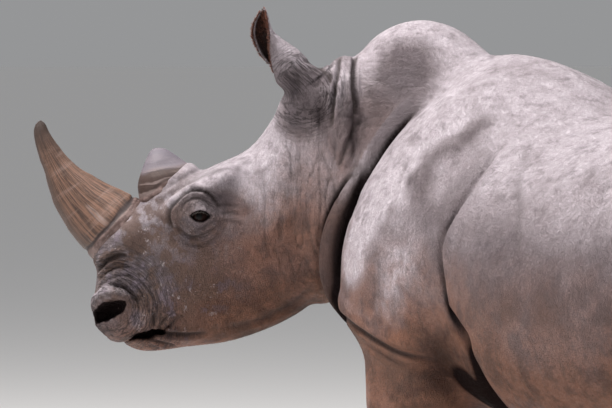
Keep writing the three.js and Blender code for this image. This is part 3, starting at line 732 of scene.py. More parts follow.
# In the skull's side view: [depth, width, points as (forward, up)], alike on both sides.
FACE_CREASES = [
    (10, 5, [(612, -16), (606, 2), (595, 21), (580, 34), (553, 38), (516, 38), (490, 27),
             (470, -2), (466, -32), (472, -56)]),  # above the upper lid
    (4, 5, [(560, 4), (544, 15), (528, 18), (500, 8), (486, -14), (486, -34)]),
    (6, 5, [(600, -12), (598, -40), (588, -66), (564, -82), (532, -92), (500, -92)]),
    (4, 5, [(582, -40), (566, -60), (538, -72), (508, -76), (488, -68)]),
    (3, 5, [(612, -44), (606, -74), (584, -98), (548, -112), (510, -112)]),
    (3, 5, [(484, -44), (456, -60), (430, -92)]),  # from the eye's corner
    (3, 5, [(490, -62), (462, -84), (440, -116)]),
    (3, 5, [(498, -84), (470, -108), (452, -140)]),
    (15, 6, [(890, 24), (868, 36), (838, 42), (806, 44), (776, 34), (756, 16)]),  # under the horn
    (5, 4, [(896, 6), (866, 18), (826, 20), (790, 6), (766, -18)]),
    (4, 4, [(900, -2), (866, 4), (830, -2), (800, -20), (784, -46)]),
    (7, 4, [(850, -14), (830, -34), (820, -64), (824, -100), (842, -130)]),  # behind the nostril
    (3, 4, [(812, -30), (800, -66), (804, -112), (822, -152)]),
    (3, 4, [(790, -40), (778, -80), (782, -126), (802, -168)]),
    (11, 6, [(862, -184), (838, -204), (806, -242), (776, -270), (735, -300)]),  # mouth's corner
    (8, 5, [(866, -206), (852, -232), (838, -254), (828, -284)]),
    (7, 5, [(852, -190), (828, -176), (808, -150)]),
    (6, 5, [(846, -196), (812, -192), (784, -182)]),
    (5, 5, [(838, -212), (806, -214), (776, -210), (748, -214)]),
    (5, 5, [(880, -212), (872, -238), (866, -262)]),
    (4, 7, [(590, 92), (500, 76), (420, 52)]),  # across the forehead
    (4, 7, [(600, 66), (520, 58), (440, 40), (380, 10)]),
    (8, 6, [(20, 96), (0, 66), (-6, 30), (0, -6), (16, -44)]),  # behind the ear's root
    (4, 9, [(700, -318), (600, -372), (500, -398), (410, -396)]),  # along the jaw
]
# The same on the left side of the neck, by the fold that crosses it behind the ear.
NECK_CREASES = [
    (16, 6, [(-130, 26), (-87, -5), (-64, -26), (-42, -49), (-22, -74), (-6, -98), (14, -120)]),
    (12, 6, [(-90, 52), (-60, 30), (-37, 9), (1, -22), (42, -55), (65, -76), (90, -100)]),
    (5, 5, [(-50, 40), (-12, 12), (24, -18), (58, -46)]),
    (5, 6, [(10, -134), (52, -150), (96, -170), (150, -200)]),
]
# The same in the body's side view, as (back, up), on both sides.
BODY_CREASES = [
    (9, 9, [(-225, 905), (-180, 898), (-130, 880), (-80, 862), (-25, 844), (40, 822), (110, 806),
            (190, 800)]),  # over the fore arm
    (5, 8, [(-120, 850), (-50, 826), (20, 800), (80, 780)]),
    (2, 16, [(420, 1400), (520, 1280), (617, 1190), (680, 1060)]),
    (6, 26, [(1150, 1020), (1165, 905), (1200, 800), (1262, 715)]),  # before the thigh
    (3, 10, [(-125, 455), (-20, 438), (115, 452)]),  # knees and ankles
    (2, 8, [(-110, 412), (0, 400), (100, 410)]),
    (3, 9, [(-120, 196), (0, 180), (120, 194)]),
    (3, 10, [(1500, 545), (1610, 518), (1710, 530)]),
    (3, 9, [(1490, 196), (1610, 180), (1740, 194)]),
]
# Wrinkles in rings, in the skull's side view: [centre, least and greatest radius, weight].
FACE_RINGS = [
    ((890, -66), 60, 250, 1.0),  # round the nostrils
    ((842, -190), 20, 110, 0.9),  # round the mouth's corner
    ((76, 26), 56, 170, 1.0),  # round the ear's root
    ((528, -38), 30, 110, 0.6),  # round the eye
]


def crease_lines(spots, stretch, seed, width):
    """Meandering lines, 1 on a line and 0 off it; they run along the largest stretch."""
    value = smooth_noise(spots / stretch, 1, seed)
    return np.exp(-(value / width) ** 2)


def soft(value, low, high):
    t = np.clip((value - low) / (high - low), 0, 1)
    return t * t * (3 - 2 * t)


def near(spots, centre, radii):
    """1 at the middle of a soft ball of skin, 0 outside it."""
    reach = np.linalg.norm((spots - centre) / radii, axis=1)
    return 1 - soft(reach, 0.35, 1)


def creases(lines, flat):
    """Depth of drawn creases, with a low swelling along each side of them."""
    depth = np.zeros(len(flat))
    for deep, width, points in lines:
        gap, share = line_distance(smooth_line(points), flat)
        taper = np.sqrt(np.maximum(np.sin(np.pi * share), 0))
        ridge = 0.45 * np.exp(-((gap - 2.2 * width) / width) ** 2)
        depth = depth + deep * taper * (np.exp(-(gap / width) ** 2) - ridge)
    return depth


def drawn_creases(spots, zones):
    flat, side = zones["skull"][:, [0, 2]], zones["skull"][:, 1]
    beside = soft(side, 20, 60)
    depth = creases(FACE_CREASES, flat) * beside * zones["head"]
    depth += creases(NECK_CREASES, flat) * beside * (spots[:, 1] < 0) * (side < 330)
    return depth + creases(BODY_CREASES, spots[:, [0, 2]]) * soft(np.abs(spots[:, 1]), 200, 300)


def fine_rings(zones):
    """Coordinates whose lines run round the openings of the face and up the root of the
    ear, and how much they count."""
    forward, side, up = zones["skull"].T
    share, where = np.zeros(len(forward)), np.zeros((len(forward), 3))
    for n, (centre, least, most, weight) in enumerate(FACE_RINGS):
        out = np.stack([forward, up], 1) - centre
        reach = np.linalg.norm(out, axis=1)
        angle = np.arctan2(out[:, 1], out[:, 0])
        band = soft(reach, least * 0.6, least) * (1 - soft(reach, most * 0.45, most))
        band = band * zones["head"] * soft(side, 20, 60) * weight
        here = band > share
        share = np.where(here, band, share)
        place = np.stack([reach, angle * 16, np.full(len(reach), 40.0 * n)], 1)
        where = np.where(here[:, None], place, where)
    f, s, *_ = ear_at(up)
    around = np.degrees(np.arctan2(side - s, forward - f))
    band = (1 - soft(np.hypot(forward - f, side - s), 75, 110)) * soft(up, 0, 40)
    band = band * (1 - soft(up, 85, 150)) * zones["head"]
    here = band > share * 0.8
    share = np.where(here, band, share)
    where = np.where(here[:, None], np.stack([around * 1.1, up / 14, 0 * up + 300], 1), where)
    return where / 1000, share


def make_zones(spots, normals):
    """Where each kind of wrinkle, each tint and the painted shade lie on the skin, as values from 0
    to 1.
    """
    head = to_skull(spots)
    head_side = np.abs(head[:, 1])
    flat_head = np.stack([head[:, 0], head_side, head[:, 2]], 1)
    on_head = soft(-np.abs(head[:, 0] - 480), -620, -500) * (head_side < 260)
    on_head = on_head * soft(-np.abs(head[:, 2] + 160), -420, -320)
    zones = {"skull": flat_head, "head": on_head}
    zones["muzzle"] = near(flat_head, (850, 60, -90), (190, 190, 190))
    zones["neck"] = np.maximum(near(spots, (-370, -330, 1220), (240, 330, 480)),
                               near(spots, (-330, 330, 1220), (330, 330, 420)))
    zones["hump"] = near(spots, (-270, -180, 1500), (260, 260, 200))
    x, y, z = spots.T
    zones["legs"] = soft(-z, -640, -420)
    inner_bend = soft(-y, -40, 120)
    meeting = np.abs(body_field(x, y, z) - front_field(x, y, z))
    zones["collar"] = np.exp(-(meeting / 8) ** 2) * inner_bend * soft(-z, -1490, -1380)
    zones["by_collar"] = np.exp(-(meeting / 45) ** 2) * inner_bend * soft(-z, -1560, -1400)
    roll = collar_roll(x, y, z)
    meeting = np.abs(bare_neck_field(x, y, z) - roll)
    low_roll = inner_bend * soft(-z, -1380, -1180) * soft(-roll, -60, -25)
    zones["roll_edge"] = np.exp(-(meeting / 8) ** 2) * low_roll
    zones["roll"] = soft(-roll, -16, 4) * soft(-z, -1340, -1150)
    zones["nape"] = np.exp(-(np.abs(nape_fold(x, y, z)) / 9) ** 2) * soft(z, 1330, 1400)
    fold = np.maximum(shoulder_fold(x, np.abs(y), z), 0) + 40 * (y > 0) * soft(-z, -1150, -1000)
    broken = 0.7 + 0.5 * smooth_noise(spots, 30, 18)
    zones["shoulder_fold"] = np.exp(-(fold / 10) ** 2) * broken * (1 - 0.7 * soft(z, 1000, 1250))
    zones["lids"] = np.exp(-(np.maximum(lid_opening(*flat_head.T), 0) / 6) ** 2) * zones["head"]
    zones["armpit"] = soft(-armpit_field(x, y, z), -14, 3) * soft(-z, -940, -840)
    nostril = NOSTRIL(*flat_head.T) + 5 * smooth_noise(spots, 14, 17)
    zones["nostril"] = soft(-nostril, -7, 4) * zones["head"]
    zones["mask"] = near(flat_head, (715, 60, -50), (330, 240, 310)) * zones["head"]
    zones["ear"] = (soft(head[:, 2], 80, 110) * (head[:, 0] < 160) * (head[:, 0] > -60)
                    * (np.abs(head_side - 130) < 80))
    # Painted shade where other flesh lies near, a rough ambient occlusion, with less of it along
    # the upper shoulder fold.
    shut = np.zeros(len(spots))
    for reach, weight in ((14, 0.35), (45, 0.35), (120, 0.3)):
        open_ = flesh_field(*(spots + normals * reach).T) / reach
        shut += weight * (1 - np.clip(open_, 0, 1))
    zones["shut"] = shut * (1 - 0.5 * np.exp(-(fold / 50) ** 2) * soft(z, 860, 980))
    return zones


def skin_relief(spots, zones):
    """How far the skin stands in or out, in millimetres."""
    depth = drawn_creases(spots, zones)
    up_and_down = crease_lines(spots, (20, 20, 95), 3, 0.12)
    level = crease_lines(spots, (80, 80, 17), 4, 0.13)
    any_way = crease_lines(spots, (30, 30, 24), 5, 0.10)
    fine = crease_lines(spots, (15, 15, 13), 6, 0.12)
    depth += 2.8 * up_and_down * zones["neck"] * (1 - zones["hump"])
    depth += 1.8 * level * np.maximum(zones["hump"], zones["legs"] * 0.8)
    depth += any_way * (0.45 + 1.95 * zones["muzzle"])
    ankles = np.exp(-((spots[:, 2] - 165) / 60) ** 2)
    depth += 2.6 * level * ankles * soft(np.abs(spots[:, 1]), 80, 160)
    depth += 1.3 * fine * np.maximum(zones["muzzle"], 0.6 * zones["head"])
    depth *= 1 - 0.85 * zones["ear"]
    depth += 15 * zones["collar"] + 10 * zones["roll_edge"] + 2.4 * zones["shoulder_fold"]
    # Painted shade in the creases, darker the deeper they are.
    zones["lines"] = np.clip(depth / 6, 0, 1)
    swell = smooth_noise(spots, 160, 7) * 3.0 + smooth_noise(spots, 60, 8) * 1.4
    return swell * (1 - zones["ear"]) * (1 - 0.5 * zones["head"]) - depth


# Paler (above 0) and darker (below 0) strokes on the hide, some of them painted shade and painted
# highlights, as marked: [strength, width, line of points].
BODY_TINTS = [
    (-1.60, 76, [(-190, -190, 1610), (-170, -225, 1535), (-205, -262, 1465)]),  # under the hump: painted shade, with a dark patch in it
    (-0.45, 70, [(-240, -190, 1640), (-270, -240, 1530), (-270, -285, 1400)]),
    (-1.20, 42, [(228, -287, 1448), (194, -329, 1393), (135, -349, 1366), (68, -392, 1289)]),
    (-0.70, 34, [(132, -401, 1285), (142, -428, 1231), (190, -430, 1180)]),  # on the shoulder blade
    (-0.45, 60, [(300, -380, 1330), (270, -430, 1210), (250, -480, 1080)]),  # behind it
    # A pale band down the front of the shoulder: painted highlight over dust.
    (1.00, 52, [(215, -270, 1470), (110, -350, 1380), (25, -400, 1270), (-50, -432, 1180),
                (-95, -445, 1060)]),
    (-0.35, 50, [(-60, -430, 1120), (-30, -450, 990)]),
    (0.40, 50, [(100, -460, 1060), (40, -465, 960)]),
    (0.25, 70, [(-330, -60, 1700), (-250, -60, 1722), (-160, -60, 1700)]),  # top of the hump
    # more of that band, low on the shoulder
    (0.90, 36, [(-60, -440, 1200), (-110, -445, 1120), (-130, -440, 1040)]),
    (-0.80, 150, [(520, -560, 1080), (800, -600, 960), (1100, -590, 980)]),  # ribs: painted shade low on the side, with dried mud
    (-0.10, 90, [(-420, -380, 1290), (-430, -370, 1150)]),  # behind the cheek
    (-0.60, 60, [(-180, -420, 860), (-80, -440, 810), (40, -440, 780)]),  # painted shade under the arm roll
    (-0.35, 150, [(400, -560, 800), (600, -590, 780), (900, -600, 760)]),  # painted shade low on the flank, with dried mud
    # Painted shade on the upper fore leg, next to the armpit.
    (-0.60, 110, [(200, -400, 800), (120, -400, 700), (60, -380, 560)]),
]
# The same on both sides of the head, in the skull's frame.
FACE_TINTS = [
    (-1.10, 52, [(110, 150, 10), (80, 165, 38), (40, 165, 22)]),  # root of the ear
    (-0.80, 30, [(150, 150, -20), (120, 160, -70), (60, 165, -90)]),
    (0.70, 44, [(62, 150, 120), (60, 160, 155), (52, 165, 200)]),  # back of the ear
    (0.45, 16, [(-70, 150, 8), (-22, 165, -30), (20, 180, -68)]),  # fold behind it
    (0.45, 70, [(420, 90, 30), (300, 90, 0), (200, 100, 0)]),  # forehead
    (0.60, 20, [(655, 90, 40), (610, 100, 60), (540, 110, 56), (460, 110, 42)]),  # over the brow: painted highlight on the ridge
    (0.70, 12, [(690, 90, 96), (650, 110, 66), (634, 120, 30), (612, 130, -10)]),  # before the eye
    (0.50, 10, [(760, 80, 70), (742, 90, 30), (700, 100, 50)]),
    (0.40, 14, [(850, 70, 46), (820, 90, 40), (780, 90, 20)]),
    (-0.25, 60, [(720, 100, 20), (780, 100, 30)]),
    (-0.60, 50, [(600, 130, -90), (680, 120, -90), (740, 110, -50)]),  # below the eye
    (-1.20, 27, [(690, 120, -136), (664, 125, -160)]),  # brown stain on the cheek
    (-2.00, 5, [(684, 120, -206), (674, 120, -210)]),
    (-0.55, 26, [(480, 150, -20), (440, 150, -60), (420, 150, -110)]),
    (0.35, 12, [(520, 170, 0), (495, 170, -20)]),  # painted highlight on the upper lid
    (-0.75, 34, [(700, 110, -190), (640, 120, -220), (600, 120, -200)]),
    (-0.70, 22, [(800, 110, -90), (790, 110, -130), (770, 110, -150)]),
    (0.70, 6, [(556, 140, -140), (600, 130, -176), (650, 125, -210)]),  # streaks from the eye
    (0.50, 6, [(530, 140, -150), (590, 130, -210), (640, 120, -250)]),
    (-0.35, 110, [(640, 100, -330), (480, 120, -390), (350, 130, -400)]),  # jaw
    (-0.50, 40, [(870, 80, -180), (820, 90, -210), (770, 90, -260)]),  # corner of the mouth
    (0.60, 14, [(905, 80, -14), (880, 100, -10), (856, 110, -26)]),  # rim of the nostril
    (-0.70, 30, [(950, 60, -50), (940, 70, -100), (925, 60, -140)]),  # painted shade on the front of the nose
    (0.60, 24, [(890, 90, -125), (850, 100, -146)]),
    (0.35, 60, [(400, 150, -140), (330, 160, -120)]),  # cheek
    (-0.15, 110, [(800, 100, 0), (700, 110, -120)]),  # side of the muzzle
]


def strokes(tints, spots):
    total = np.zeros(len(spots))
    for strength, width, points in tints:
        gap, _ = line_distance(smooth_line(points), spots)
        total += strength * np.exp(-(gap / width) ** 2)
    return total


def paint(spots, zones, normals):
    """The tints of the hide: dust, mud, painted shade in the folds and hollows, strokes of tone,
    painted highlight and painted shade, and the run of the grain.
    """
    blotch = smooth_noise(spots, 210, 11) * 0.6 + smooth_noise(spots, 80, 12) * 0.4
    speck = smooth_noise(spots, 34, 13) * 0.6 + smooth_noise(spots, 15, 14) * 0.4
    torn = 1 + 0.9 * blotch + 0.7 * speck
    skull_spots = zones["skull"]
    tint = strokes(BODY_TINTS, spots) + strokes(FACE_TINTS, skull_spots) * zones["head"]
    # Painted shade takes the dust off the roll under the neck; it is darker along the nape fold
    # too.
    tint = tint * np.clip(torn, 0.2, 1.6) - 0.95 * zones["roll"] - 0.4 * zones["nape"]
    height = soft(spots[:, 2], 850, 1500)
    facing_up = soft(normals[:, 2], -0.25, 0.75)
    dust_and_highlight = 0.06 + 0.56 * height * facing_up + 0.28 * facing_up + 0.44 * blotch + 0.27 * speck
    low = 1 - soft(spots[:, 2], 700, 1300)
    mud_and_shade = np.clip(1.1 * low - 0.3 * facing_up + 0.35 * blotch, 0, 1)
    lower_face = zones["head"] * soft(-skull_spots[:, 2], 0, 220)
    lower_face *= 0.35 + 0.65 * soft(skull_spots[:, 0], 100, 420)
    mud_and_shade = np.maximum(mud_and_shade * (1 - zones["head"]), lower_face * (0.9 + 0.4 * blotch))
    # The roll's painted shade is warmed with the mud's brown.
    mud_and_shade = np.maximum(mud_and_shade, 0.7 * zones["roll"])
    # The strokes add painted highlights to the dust, and painted shade takes it away.
    dust_and_highlight = np.clip(np.clip(dust_and_highlight, 0, 1) * (1 - 0.6 * lower_face) + tint, 0, 1)
    # Dark patches at random, with the painted shade of the darker strokes.
    patches_and_shade = 0.5 * soft(blotch * 0.5 + speck * 0.5, 0.18, 0.5) + np.clip(-tint, 0, 0.9)
    # Painted shade: in hollows where flesh is near, in the collar, roll, shoulder fold and armpit,
    # inside the nostril, at the ear's root, under the arms and behind the near fore leg; the lids'
    # rims join it below.
    shade = zones["shut"] + zones["collar"] + 0.2 * zones["by_collar"] + 0.5 * zones["roll"]
    shade += 0.8 * zones["roll_edge"] + 0.3 * zones["shoulder_fold"] + zones["armpit"]
    shade += zones["nostril"] + 0.4 * near(skull_spots, (72, 175, -26), (95, 90, 84))
    folded = np.where([False, True, False], np.abs(spots), spots)
    shade += 0.45 * near(folded, (270, 430, 780), (230, 160, 200))
    shade += 1.4 * near(spots, (295, -345, 710), (115, 95, 125))  # painted shade behind the near fore leg
    return {"dust_and_highlight": dust_and_highlight, "mud_and_shade": mud_and_shade, "patches_and_shade": np.clip(patches_and_shade, 0, 1),
            "shade": np.clip(shade + zones["lids"], 0, 1), "lines": zones["lines"],
            "grain": np.maximum(zones["hump"], zones["legs"]), "mask": zones["mask"],
            "ear_inside": zones["ear_inside"]}


def make_skin_mesh():
    """The skin's grid of quads: fine on the head and neck, coarser behind and below."""
    coarse = 1
    stops = [
        [(-1120, 4), (-640, 5), (-260, 8), (560, 16), (2120, 16)],
        [(-920, 4), (-400, 5), (60, 9), (680, 9)],
        [(-30, 12), (740, 5), (1790, 5)],
    ]
    lines = [steps_between([(at, cell * coarse) for at, cell in axis]) for axis in stops]
    spots, quads = surface_net(sample_blocks(flesh_field, lines), lines)
    return onto_surface(flesh_field, spots, 6), quads


def ear_inside(head, normals):
    """1 on the hollow face of the ear's leaf."""
    turned = (normals @ HEAD_TURN) * [-1, 1, 1]
    side = np.sign(head[:, 1])
    f, s, *_ = ear_at(head[:, 2])
    inward = (f - head[:, 0]) * turned[:, 0] + (side * s - head[:, 1]) * turned[:, 1]
    return soft(inward, 2, 12)


def make_skin():
    spots, quads = make_skin_mesh()
    normals = vertex_normals(spots, quads)
    zones = make_zones(spots, normals)
    zones["ear_inside"] = ear_inside(to_skull(spots), normals) * zones["ear"]
    moved = spots + normals * skin_relief(spots, zones)[:, None]
    moved[:, 2] = np.maximum(np.where(spots[:, 2] < 1, 0, moved[:, 2]), 0)  # flat soles
    skin = add_mesh("skin", moved, [quads], FLESH, hide_material())
    for name, values in paint(spots, zones, normals).items():
        give(skin, name, values)
    rings, share = fine_rings(zones)
    give(skin, "rings", rings)
    give(skin, "ring_share", share)


# ---------------------------------------------------------------- materials

class Shade:
    """Builds a material's nodes by short calls; a value or another node's output goes in."""

    def __init__(self, name):
        self.material = bpy.data.materials.new(name)
        self.material.use_nodes = True
        self.tree = self.material.node_tree
        self.shader = self.tree.nodes["Principled BSDF"]

    def plug(self, socket, value):
        if isinstance(value, bpy.types.NodeSocket):
            self.tree.links.new(value, socket)
        else:
            socket.default_value = value

    def add(self, kind, inputs, out=0, **settings):
        node = self.tree.nodes.new("ShaderNode" + kind)
        for key, value in settings.items():
            setattr(node, key, value)
        for key, value in inputs.items():
            self.plug(node.inputs[key], value)
        return node.outputs[out]

    def finish(self, **inputs):
        for key, value in inputs.items():
            self.plug(self.shader.inputs[key.replace("_", " ")], value)
        return self.material

    def given(self, name, out="Fac"):
        return self.add("Attribute", {}, out, attribute_name=name)

    def math(self, operation, a, b=0.0):
        return self.add("Math", {0: a, 1: b}, operation=operation)

    def times(self, a, b):
        return self.math("MULTIPLY", a, b)

    def plus(self, a, b):
        return self.math("ADD", a, b)

    def minus(self, a, b):
        return self.math("SUBTRACT", a, b)

    def off_middle(self, noise):
        """How far noise is from its middle value, which is 0 along meandering lines."""
        return self.math("ABSOLUTE", self.minus(noise, 0.5))

    def layers(self, colour, rows):
        """Lays tints over a colour, each row as (cover, weight, tint)."""
        for cover, weight, tint in rows:
            colour = self.mix(self.times(cover, weight), colour, tint)
        return colour

    def span(self, value, low, high, to_low=0.0, to_high=1.0):
        inputs = {"Value": value, "From Min": low, "From Max": high,
                  "To Min": to_low, "To Max": to_high}
        return self.add("MapRange", inputs, interpolation_type="SMOOTHSTEP")

    def mix(self, share, a, b, blend_type="MIX"):
        a, b = (c if isinstance(c, bpy.types.NodeSocket) else (*c, 1) for c in (a, b))
        return self.add("Mix", {0: share, 6: a, 7: b}, 2, data_type="RGBA", blend_type=blend_type)

    def noise(self, place, scale, detail=3.0, out=0, rough=0.55):
        return self.add("TexNoise", {"Vector": place, "Scale": scale, "Detail": detail,
                                     "Roughness": rough}, out)

    def cells(self, place, scale):
        return self.add("TexVoronoi", {"Vector": place, "Scale": scale}, "Distance",
                        feature="DISTANCE_TO_EDGE")

    def stretched(self, place, x, y, z):
        return self.add("VectorMath", {0: place, 1: (x, y, z)}, operation="MULTIPLY")

    def wobbly(self, place, scale, amount):
        colour = self.noise(place, scale, 2.0, out="Color")
        push = self.add("VectorMath", {0: colour, 1: (-0.5, -0.5, -0.5)}, operation="ADD")
        push = self.add("VectorMath", {0: push, 1: (amount,) * 3}, operation="MULTIPLY")
        return self.add("VectorMath", {0: place, 1: push}, operation="ADD")

    def bump(self, height, distance, strength=1.0):
        return self.add("Bump", {"Height": height, "Distance": distance, "Strength": strength})


def hide_material():
    """Cracked, wrinkled hide under dust, mud and stains, with painted shade in its creases, folds
    and hollows and painted highlights in some strokes; the grain turns level on the hump and the
    legs, and the face has stains, flecks and rings of its own."""
    s = Shade("rhino_hide")
    place = s.add("TexCoord", {}, "Object")
    loose = s.wobbly(place, 26, 0.018)
    grain = s.given("grain")
    across = s.minus(1.0, grain)
    upright = s.cells(s.stretched(loose, 1.0, 1.0, 0.5), 250)
    level = s.cells(s.stretched(loose, 0.55, 0.55, 1.3), 250)
    edge = s.plus(s.times(level, grain), s.times(upright, across))
    plate = s.span(edge, 0.0, 0.13)
    upright = s.noise(s.stretched(loose, 1.0, 1.0, 0.24), 100, 4.0)
    level = s.noise(s.stretched(loose, 0.3, 0.3, 1.2), 100, 4.0)
    lean = s.plus(s.times(level, grain), s.times(upright, across))
    wrinkle = s.span(s.off_middle(lean), 0.0, 0.04)
    streak = s.span(lean, 0.36, 0.64)
    cloudy = s.noise(place, 5.0, 6.0, rough=0.62)
    mottle = s.noise(loose, 24.0, 4.0, rough=0.6)
    grit = s.noise(place, 110, 5.0, rough=0.7)
    stain = s.noise(loose, 15.0, 6.0, rough=0.62)
    fleck = s.noise(loose, 42.0, 5.0, rough=0.7)
    dust_and_highlight, mud_and_shade, mask = s.given("dust_and_highlight"), s.given("mud_and_shade"), s.given("mask")
    shade = s.given("shade")
    worn = s.times(s.span(cloudy, 0.35, 0.65, 0.35, 1.0), s.span(dust_and_highlight, 0.3, 0.9, 1.0, 0.45))
    on_face = s.span(mask, 0.0, 0.8, 1.0, 1.8)
    ring = s.noise(s.wobbly(s.given("rings", "Vector"), 40, 0.006), 105, 3.0)
    ring = s.times(s.span(s.off_middle(ring), 0.0, 0.07, 1.0, 0.0), s.given("ring_share"))
    bare = s.mix(s.span(cloudy, 0.3, 0.7), (0.138, 0.107, 0.112), (0.240, 0.200, 0.214))
    earth = s.mix(s.span(stain, 0.36, 0.60), (0.088, 0.034, 0.018), (0.222, 0.097, 0.057))
    # The colour of the dark patches, of the face's dark mottles and of the painted shade in the
    # darker strokes.
    dark_tone_and_shade = s.mix(mud_and_shade, (0.082, 0.064, 0.072), (0.085, 0.044, 0.030))
    thinned = dust_and_highlight
    for noise, low, high, least in ((grit, 0.3, 0.6, 0.74), (mottle, 0.3, 0.62, 0.70),
                                    (streak, 0.0, 1.0, 0.80)):
        thinned = s.times(thinned, s.span(noise, low, high, least, 1.0))
    crack = s.times(s.span(plate, 0.0, 1.0, 0.32, 0.0), s.times(worn, on_face))
    colour = s.layers(bare, [
        (mud_and_shade, 0.95, earth),
        (thinned, 0.95, (0.535, 0.480, 0.520)),
        (s.given("patches_and_shade"), 0.82, dark_tone_and_shade),
        (s.span(mottle, 0.3, 0.46, 0.28, 0.0), on_face, dark_tone_and_shade),
        (s.times(mask, s.span(stain, 0.45, 0.56)), 0.85, (0.120, 0.070, 0.052)),
        (s.times(mask, s.span(stain, 0.45, 0.36)), 0.6, (0.190, 0.152, 0.196)),
        (s.times(mask, s.span(fleck, 0.59, 0.67)), 0.75, (0.47, 0.41, 0.42)),
        (crack, 1.0, (0.050, 0.036, 0.034)),
        (s.span(wrinkle, 0.0, 1.0, 0.18, 0.0), worn, (0.050, 0.036, 0.034)),
        (ring, 0.75, (0.036, 0.026, 0.028)),
        # Painted shade: in the creases, then in the folds and hollows.
        (s.given("lines"), 0.80, (0.034, 0.023, 0.021)),
        (s.span(shade, 0.16, 0.94), 0.98, (0.008, 0.005, 0.005)),
        (s.given("ear_inside"), 0.93, (0.030, 0.015, 0.012)),
    ])
    height = s.plus(s.times(plate, 0.7), s.times(wrinkle, 0.4))
    height = s.plus(s.minus(height, s.times(ring, 1.3)), grit)
    return s.finish(Base_Color=colour, Normal=s.bump(height, 0.0026),
                    Roughness=s.span(grit, 0.3, 0.7, 0.62, 0.85),
                    Specular_IOR_Level=s.span(shade, 0.10, 0.85, 0.28, 0.02))


def horn_material():
    """Fibres and pale streaks on the front horn, rings on the rear one, a chipped foot, and painted
    shade along the front horn's front edge and in the groove above the foot.
    """
    s = Shade("horn_fibre")
    fibre = s.given("fibre", "Vector")
    ringed = s.given("ringed")
    loose = s.wobbly(fibre, 30, 0.004)
    strands = s.noise(s.stretched(loose, 1.0, 1.0, 0.04), 260, 4.0)
    rings = s.noise(s.stretched(s.wobbly(fibre, 24, 0.016), 0.10, 0.10, 1.0), 62, 3.0)
    bands = s.noise(s.stretched(loose, 0.12, 0.12, 1.0), 60, 3.0)
    streaks = s.noise(s.stretched(loose, 1.0, 1.0, 0.10), 55, 3.0)
    mottle = s.noise(loose, 70, 4.0)
    chips = s.noise(loose, 26, 5.0, rough=0.65)
    spread = s.span(ringed, 0.0, 1.0, 1.0, 0.35)
    skirt = s.given("skirt")
    ring_colour = s.mix(s.span(rings, 0.44, 0.56), (0.045, 0.028, 0.025), (0.195, 0.150, 0.142))
    foot = s.mix(s.span(mottle, 0.38, 0.62), (0.070, 0.042, 0.037), (0.148, 0.100, 0.092))
    foot = s.mix(s.span(chips, 0.58, 0.68, 0.0, 0.45), foot, (0.42, 0.37, 0.39))
    tip = s.mix(ringed, (0.026, 0.018, 0.016), (0.128, 0.114, 0.136))
    colour = s.layers((0.052, 0.030, 0.022), [
        (s.span(strands, 0.35, 0.65), spread, (0.162, 0.088, 0.060)),
        (s.span(bands, 0.5, 0.7), 0.4, (0.205, 0.138, 0.116)),
        (s.span(streaks, 0.64, 0.76), 0.38, (0.32, 0.27, 0.26)),
        (ringed, 0.85, ring_colour),
        # painted shade along the front edge
        (s.given("front"), 0.7, (0.045, 0.030, 0.026)),
        (skirt, 0.95, foot),
        (s.given("tip"), 0.85, tip),
        # painted shade in the groove above the foot
        (s.span(s.given("groove"), 0.2, 0.9), 0.9, (0.022, 0.014, 0.014)),
    ])
    height = s.plus(s.times(strands, spread), s.times(bands, 0.8))
    height = s.plus(s.plus(height, s.times(rings, ringed)), s.times(skirt, mottle))
    return s.finish(Base_Color=colour, Normal=s.bump(height, 0.0018), Roughness=0.62,
                    Specular_IOR_Level=0.3)


def eye_material():
    s = Shade("eye_brown")
    gaze = s.given("gaze")
    rays = s.noise(s.given("rays", "Vector"), 60, 3.0)
    iris = s.mix(s.span(rays, 0.35, 0.65), (0.006, 0.003, 0.003), (0.018, 0.008, 0.006))
    colour = s.mix(s.span(gaze, 0.34, 0.42), (0.002, 0.002, 0.002), iris)
    colour = s.mix(s.span(gaze, 0.84, 0.98), colour, (0.012, 0.007, 0.006))
    return s.finish(Base_Color=colour, Roughness=0.3, Specular_IOR_Level=0.05,
                    Coat_Weight=0.08, Coat_Roughness=0.04)


def nail_material():
    s = Shade("toenail")
    place = s.add("TexCoord", {}, "Object")
    stripes = s.noise(s.stretched(s.wobbly(place, 30, 0.006), 1.0, 1.0, 0.08), 200, 3.0)
    rings = s.noise(s.stretched(place, 0.2, 0.2, 1.0), 90, 3.0)
    colour = s.mix(s.span(stripes, 0.35, 0.65), (0.070, 0.052, 0.045), (0.155, 0.122, 0.106))
    colour = s.mix(s.span(rings, 0.45, 0.7, 0.0, 0.5), colour, (0.20, 0.165, 0.145))
    height = s.plus(stripes, rings)
    return s.finish(Base_Color=colour, Normal=s.bump(height, 0.0012), Roughness=0.6)


def hair_material(name, root, tip):
    s = Shade(name)
    colour = s.mix(s.given("length"), root, tip)
    shine = s.noise(s.add("TexCoord", {}, "Object"), 120, 2.0)
    colour = s.mix(s.span(shine, 0.4, 0.7, 0.0, 0.12), colour, (0.16, 0.10, 0.07))
    return s.finish(Base_Color=colour, Roughness=0.55)


# ---------------------------------------------------------------- horns, eyes and nails

def tube_faces(rings, around):
    """Quads between rings of points, and fans that close the two ends."""
    ring, i = np.meshgrid(np.arange(rings - 1), np.arange(around), indexing="ij")
    a, b = ring * around + i, ring * around + (i + 1) % around
    quads = np.stack([a, b, b + around, a + around], -1).reshape(-1, 4)
    j = np.arange(around)
    first, last = rings * around, rings * around + 1
    low = np.stack([(j + 1) % around, j, np.full(around, first)], 1)
    top = (rings - 1) * around
    high = np.stack([top + j, top + (j + 1) % around, np.full(around, last)], 1)
    return [quads, np.concatenate([low, high])]


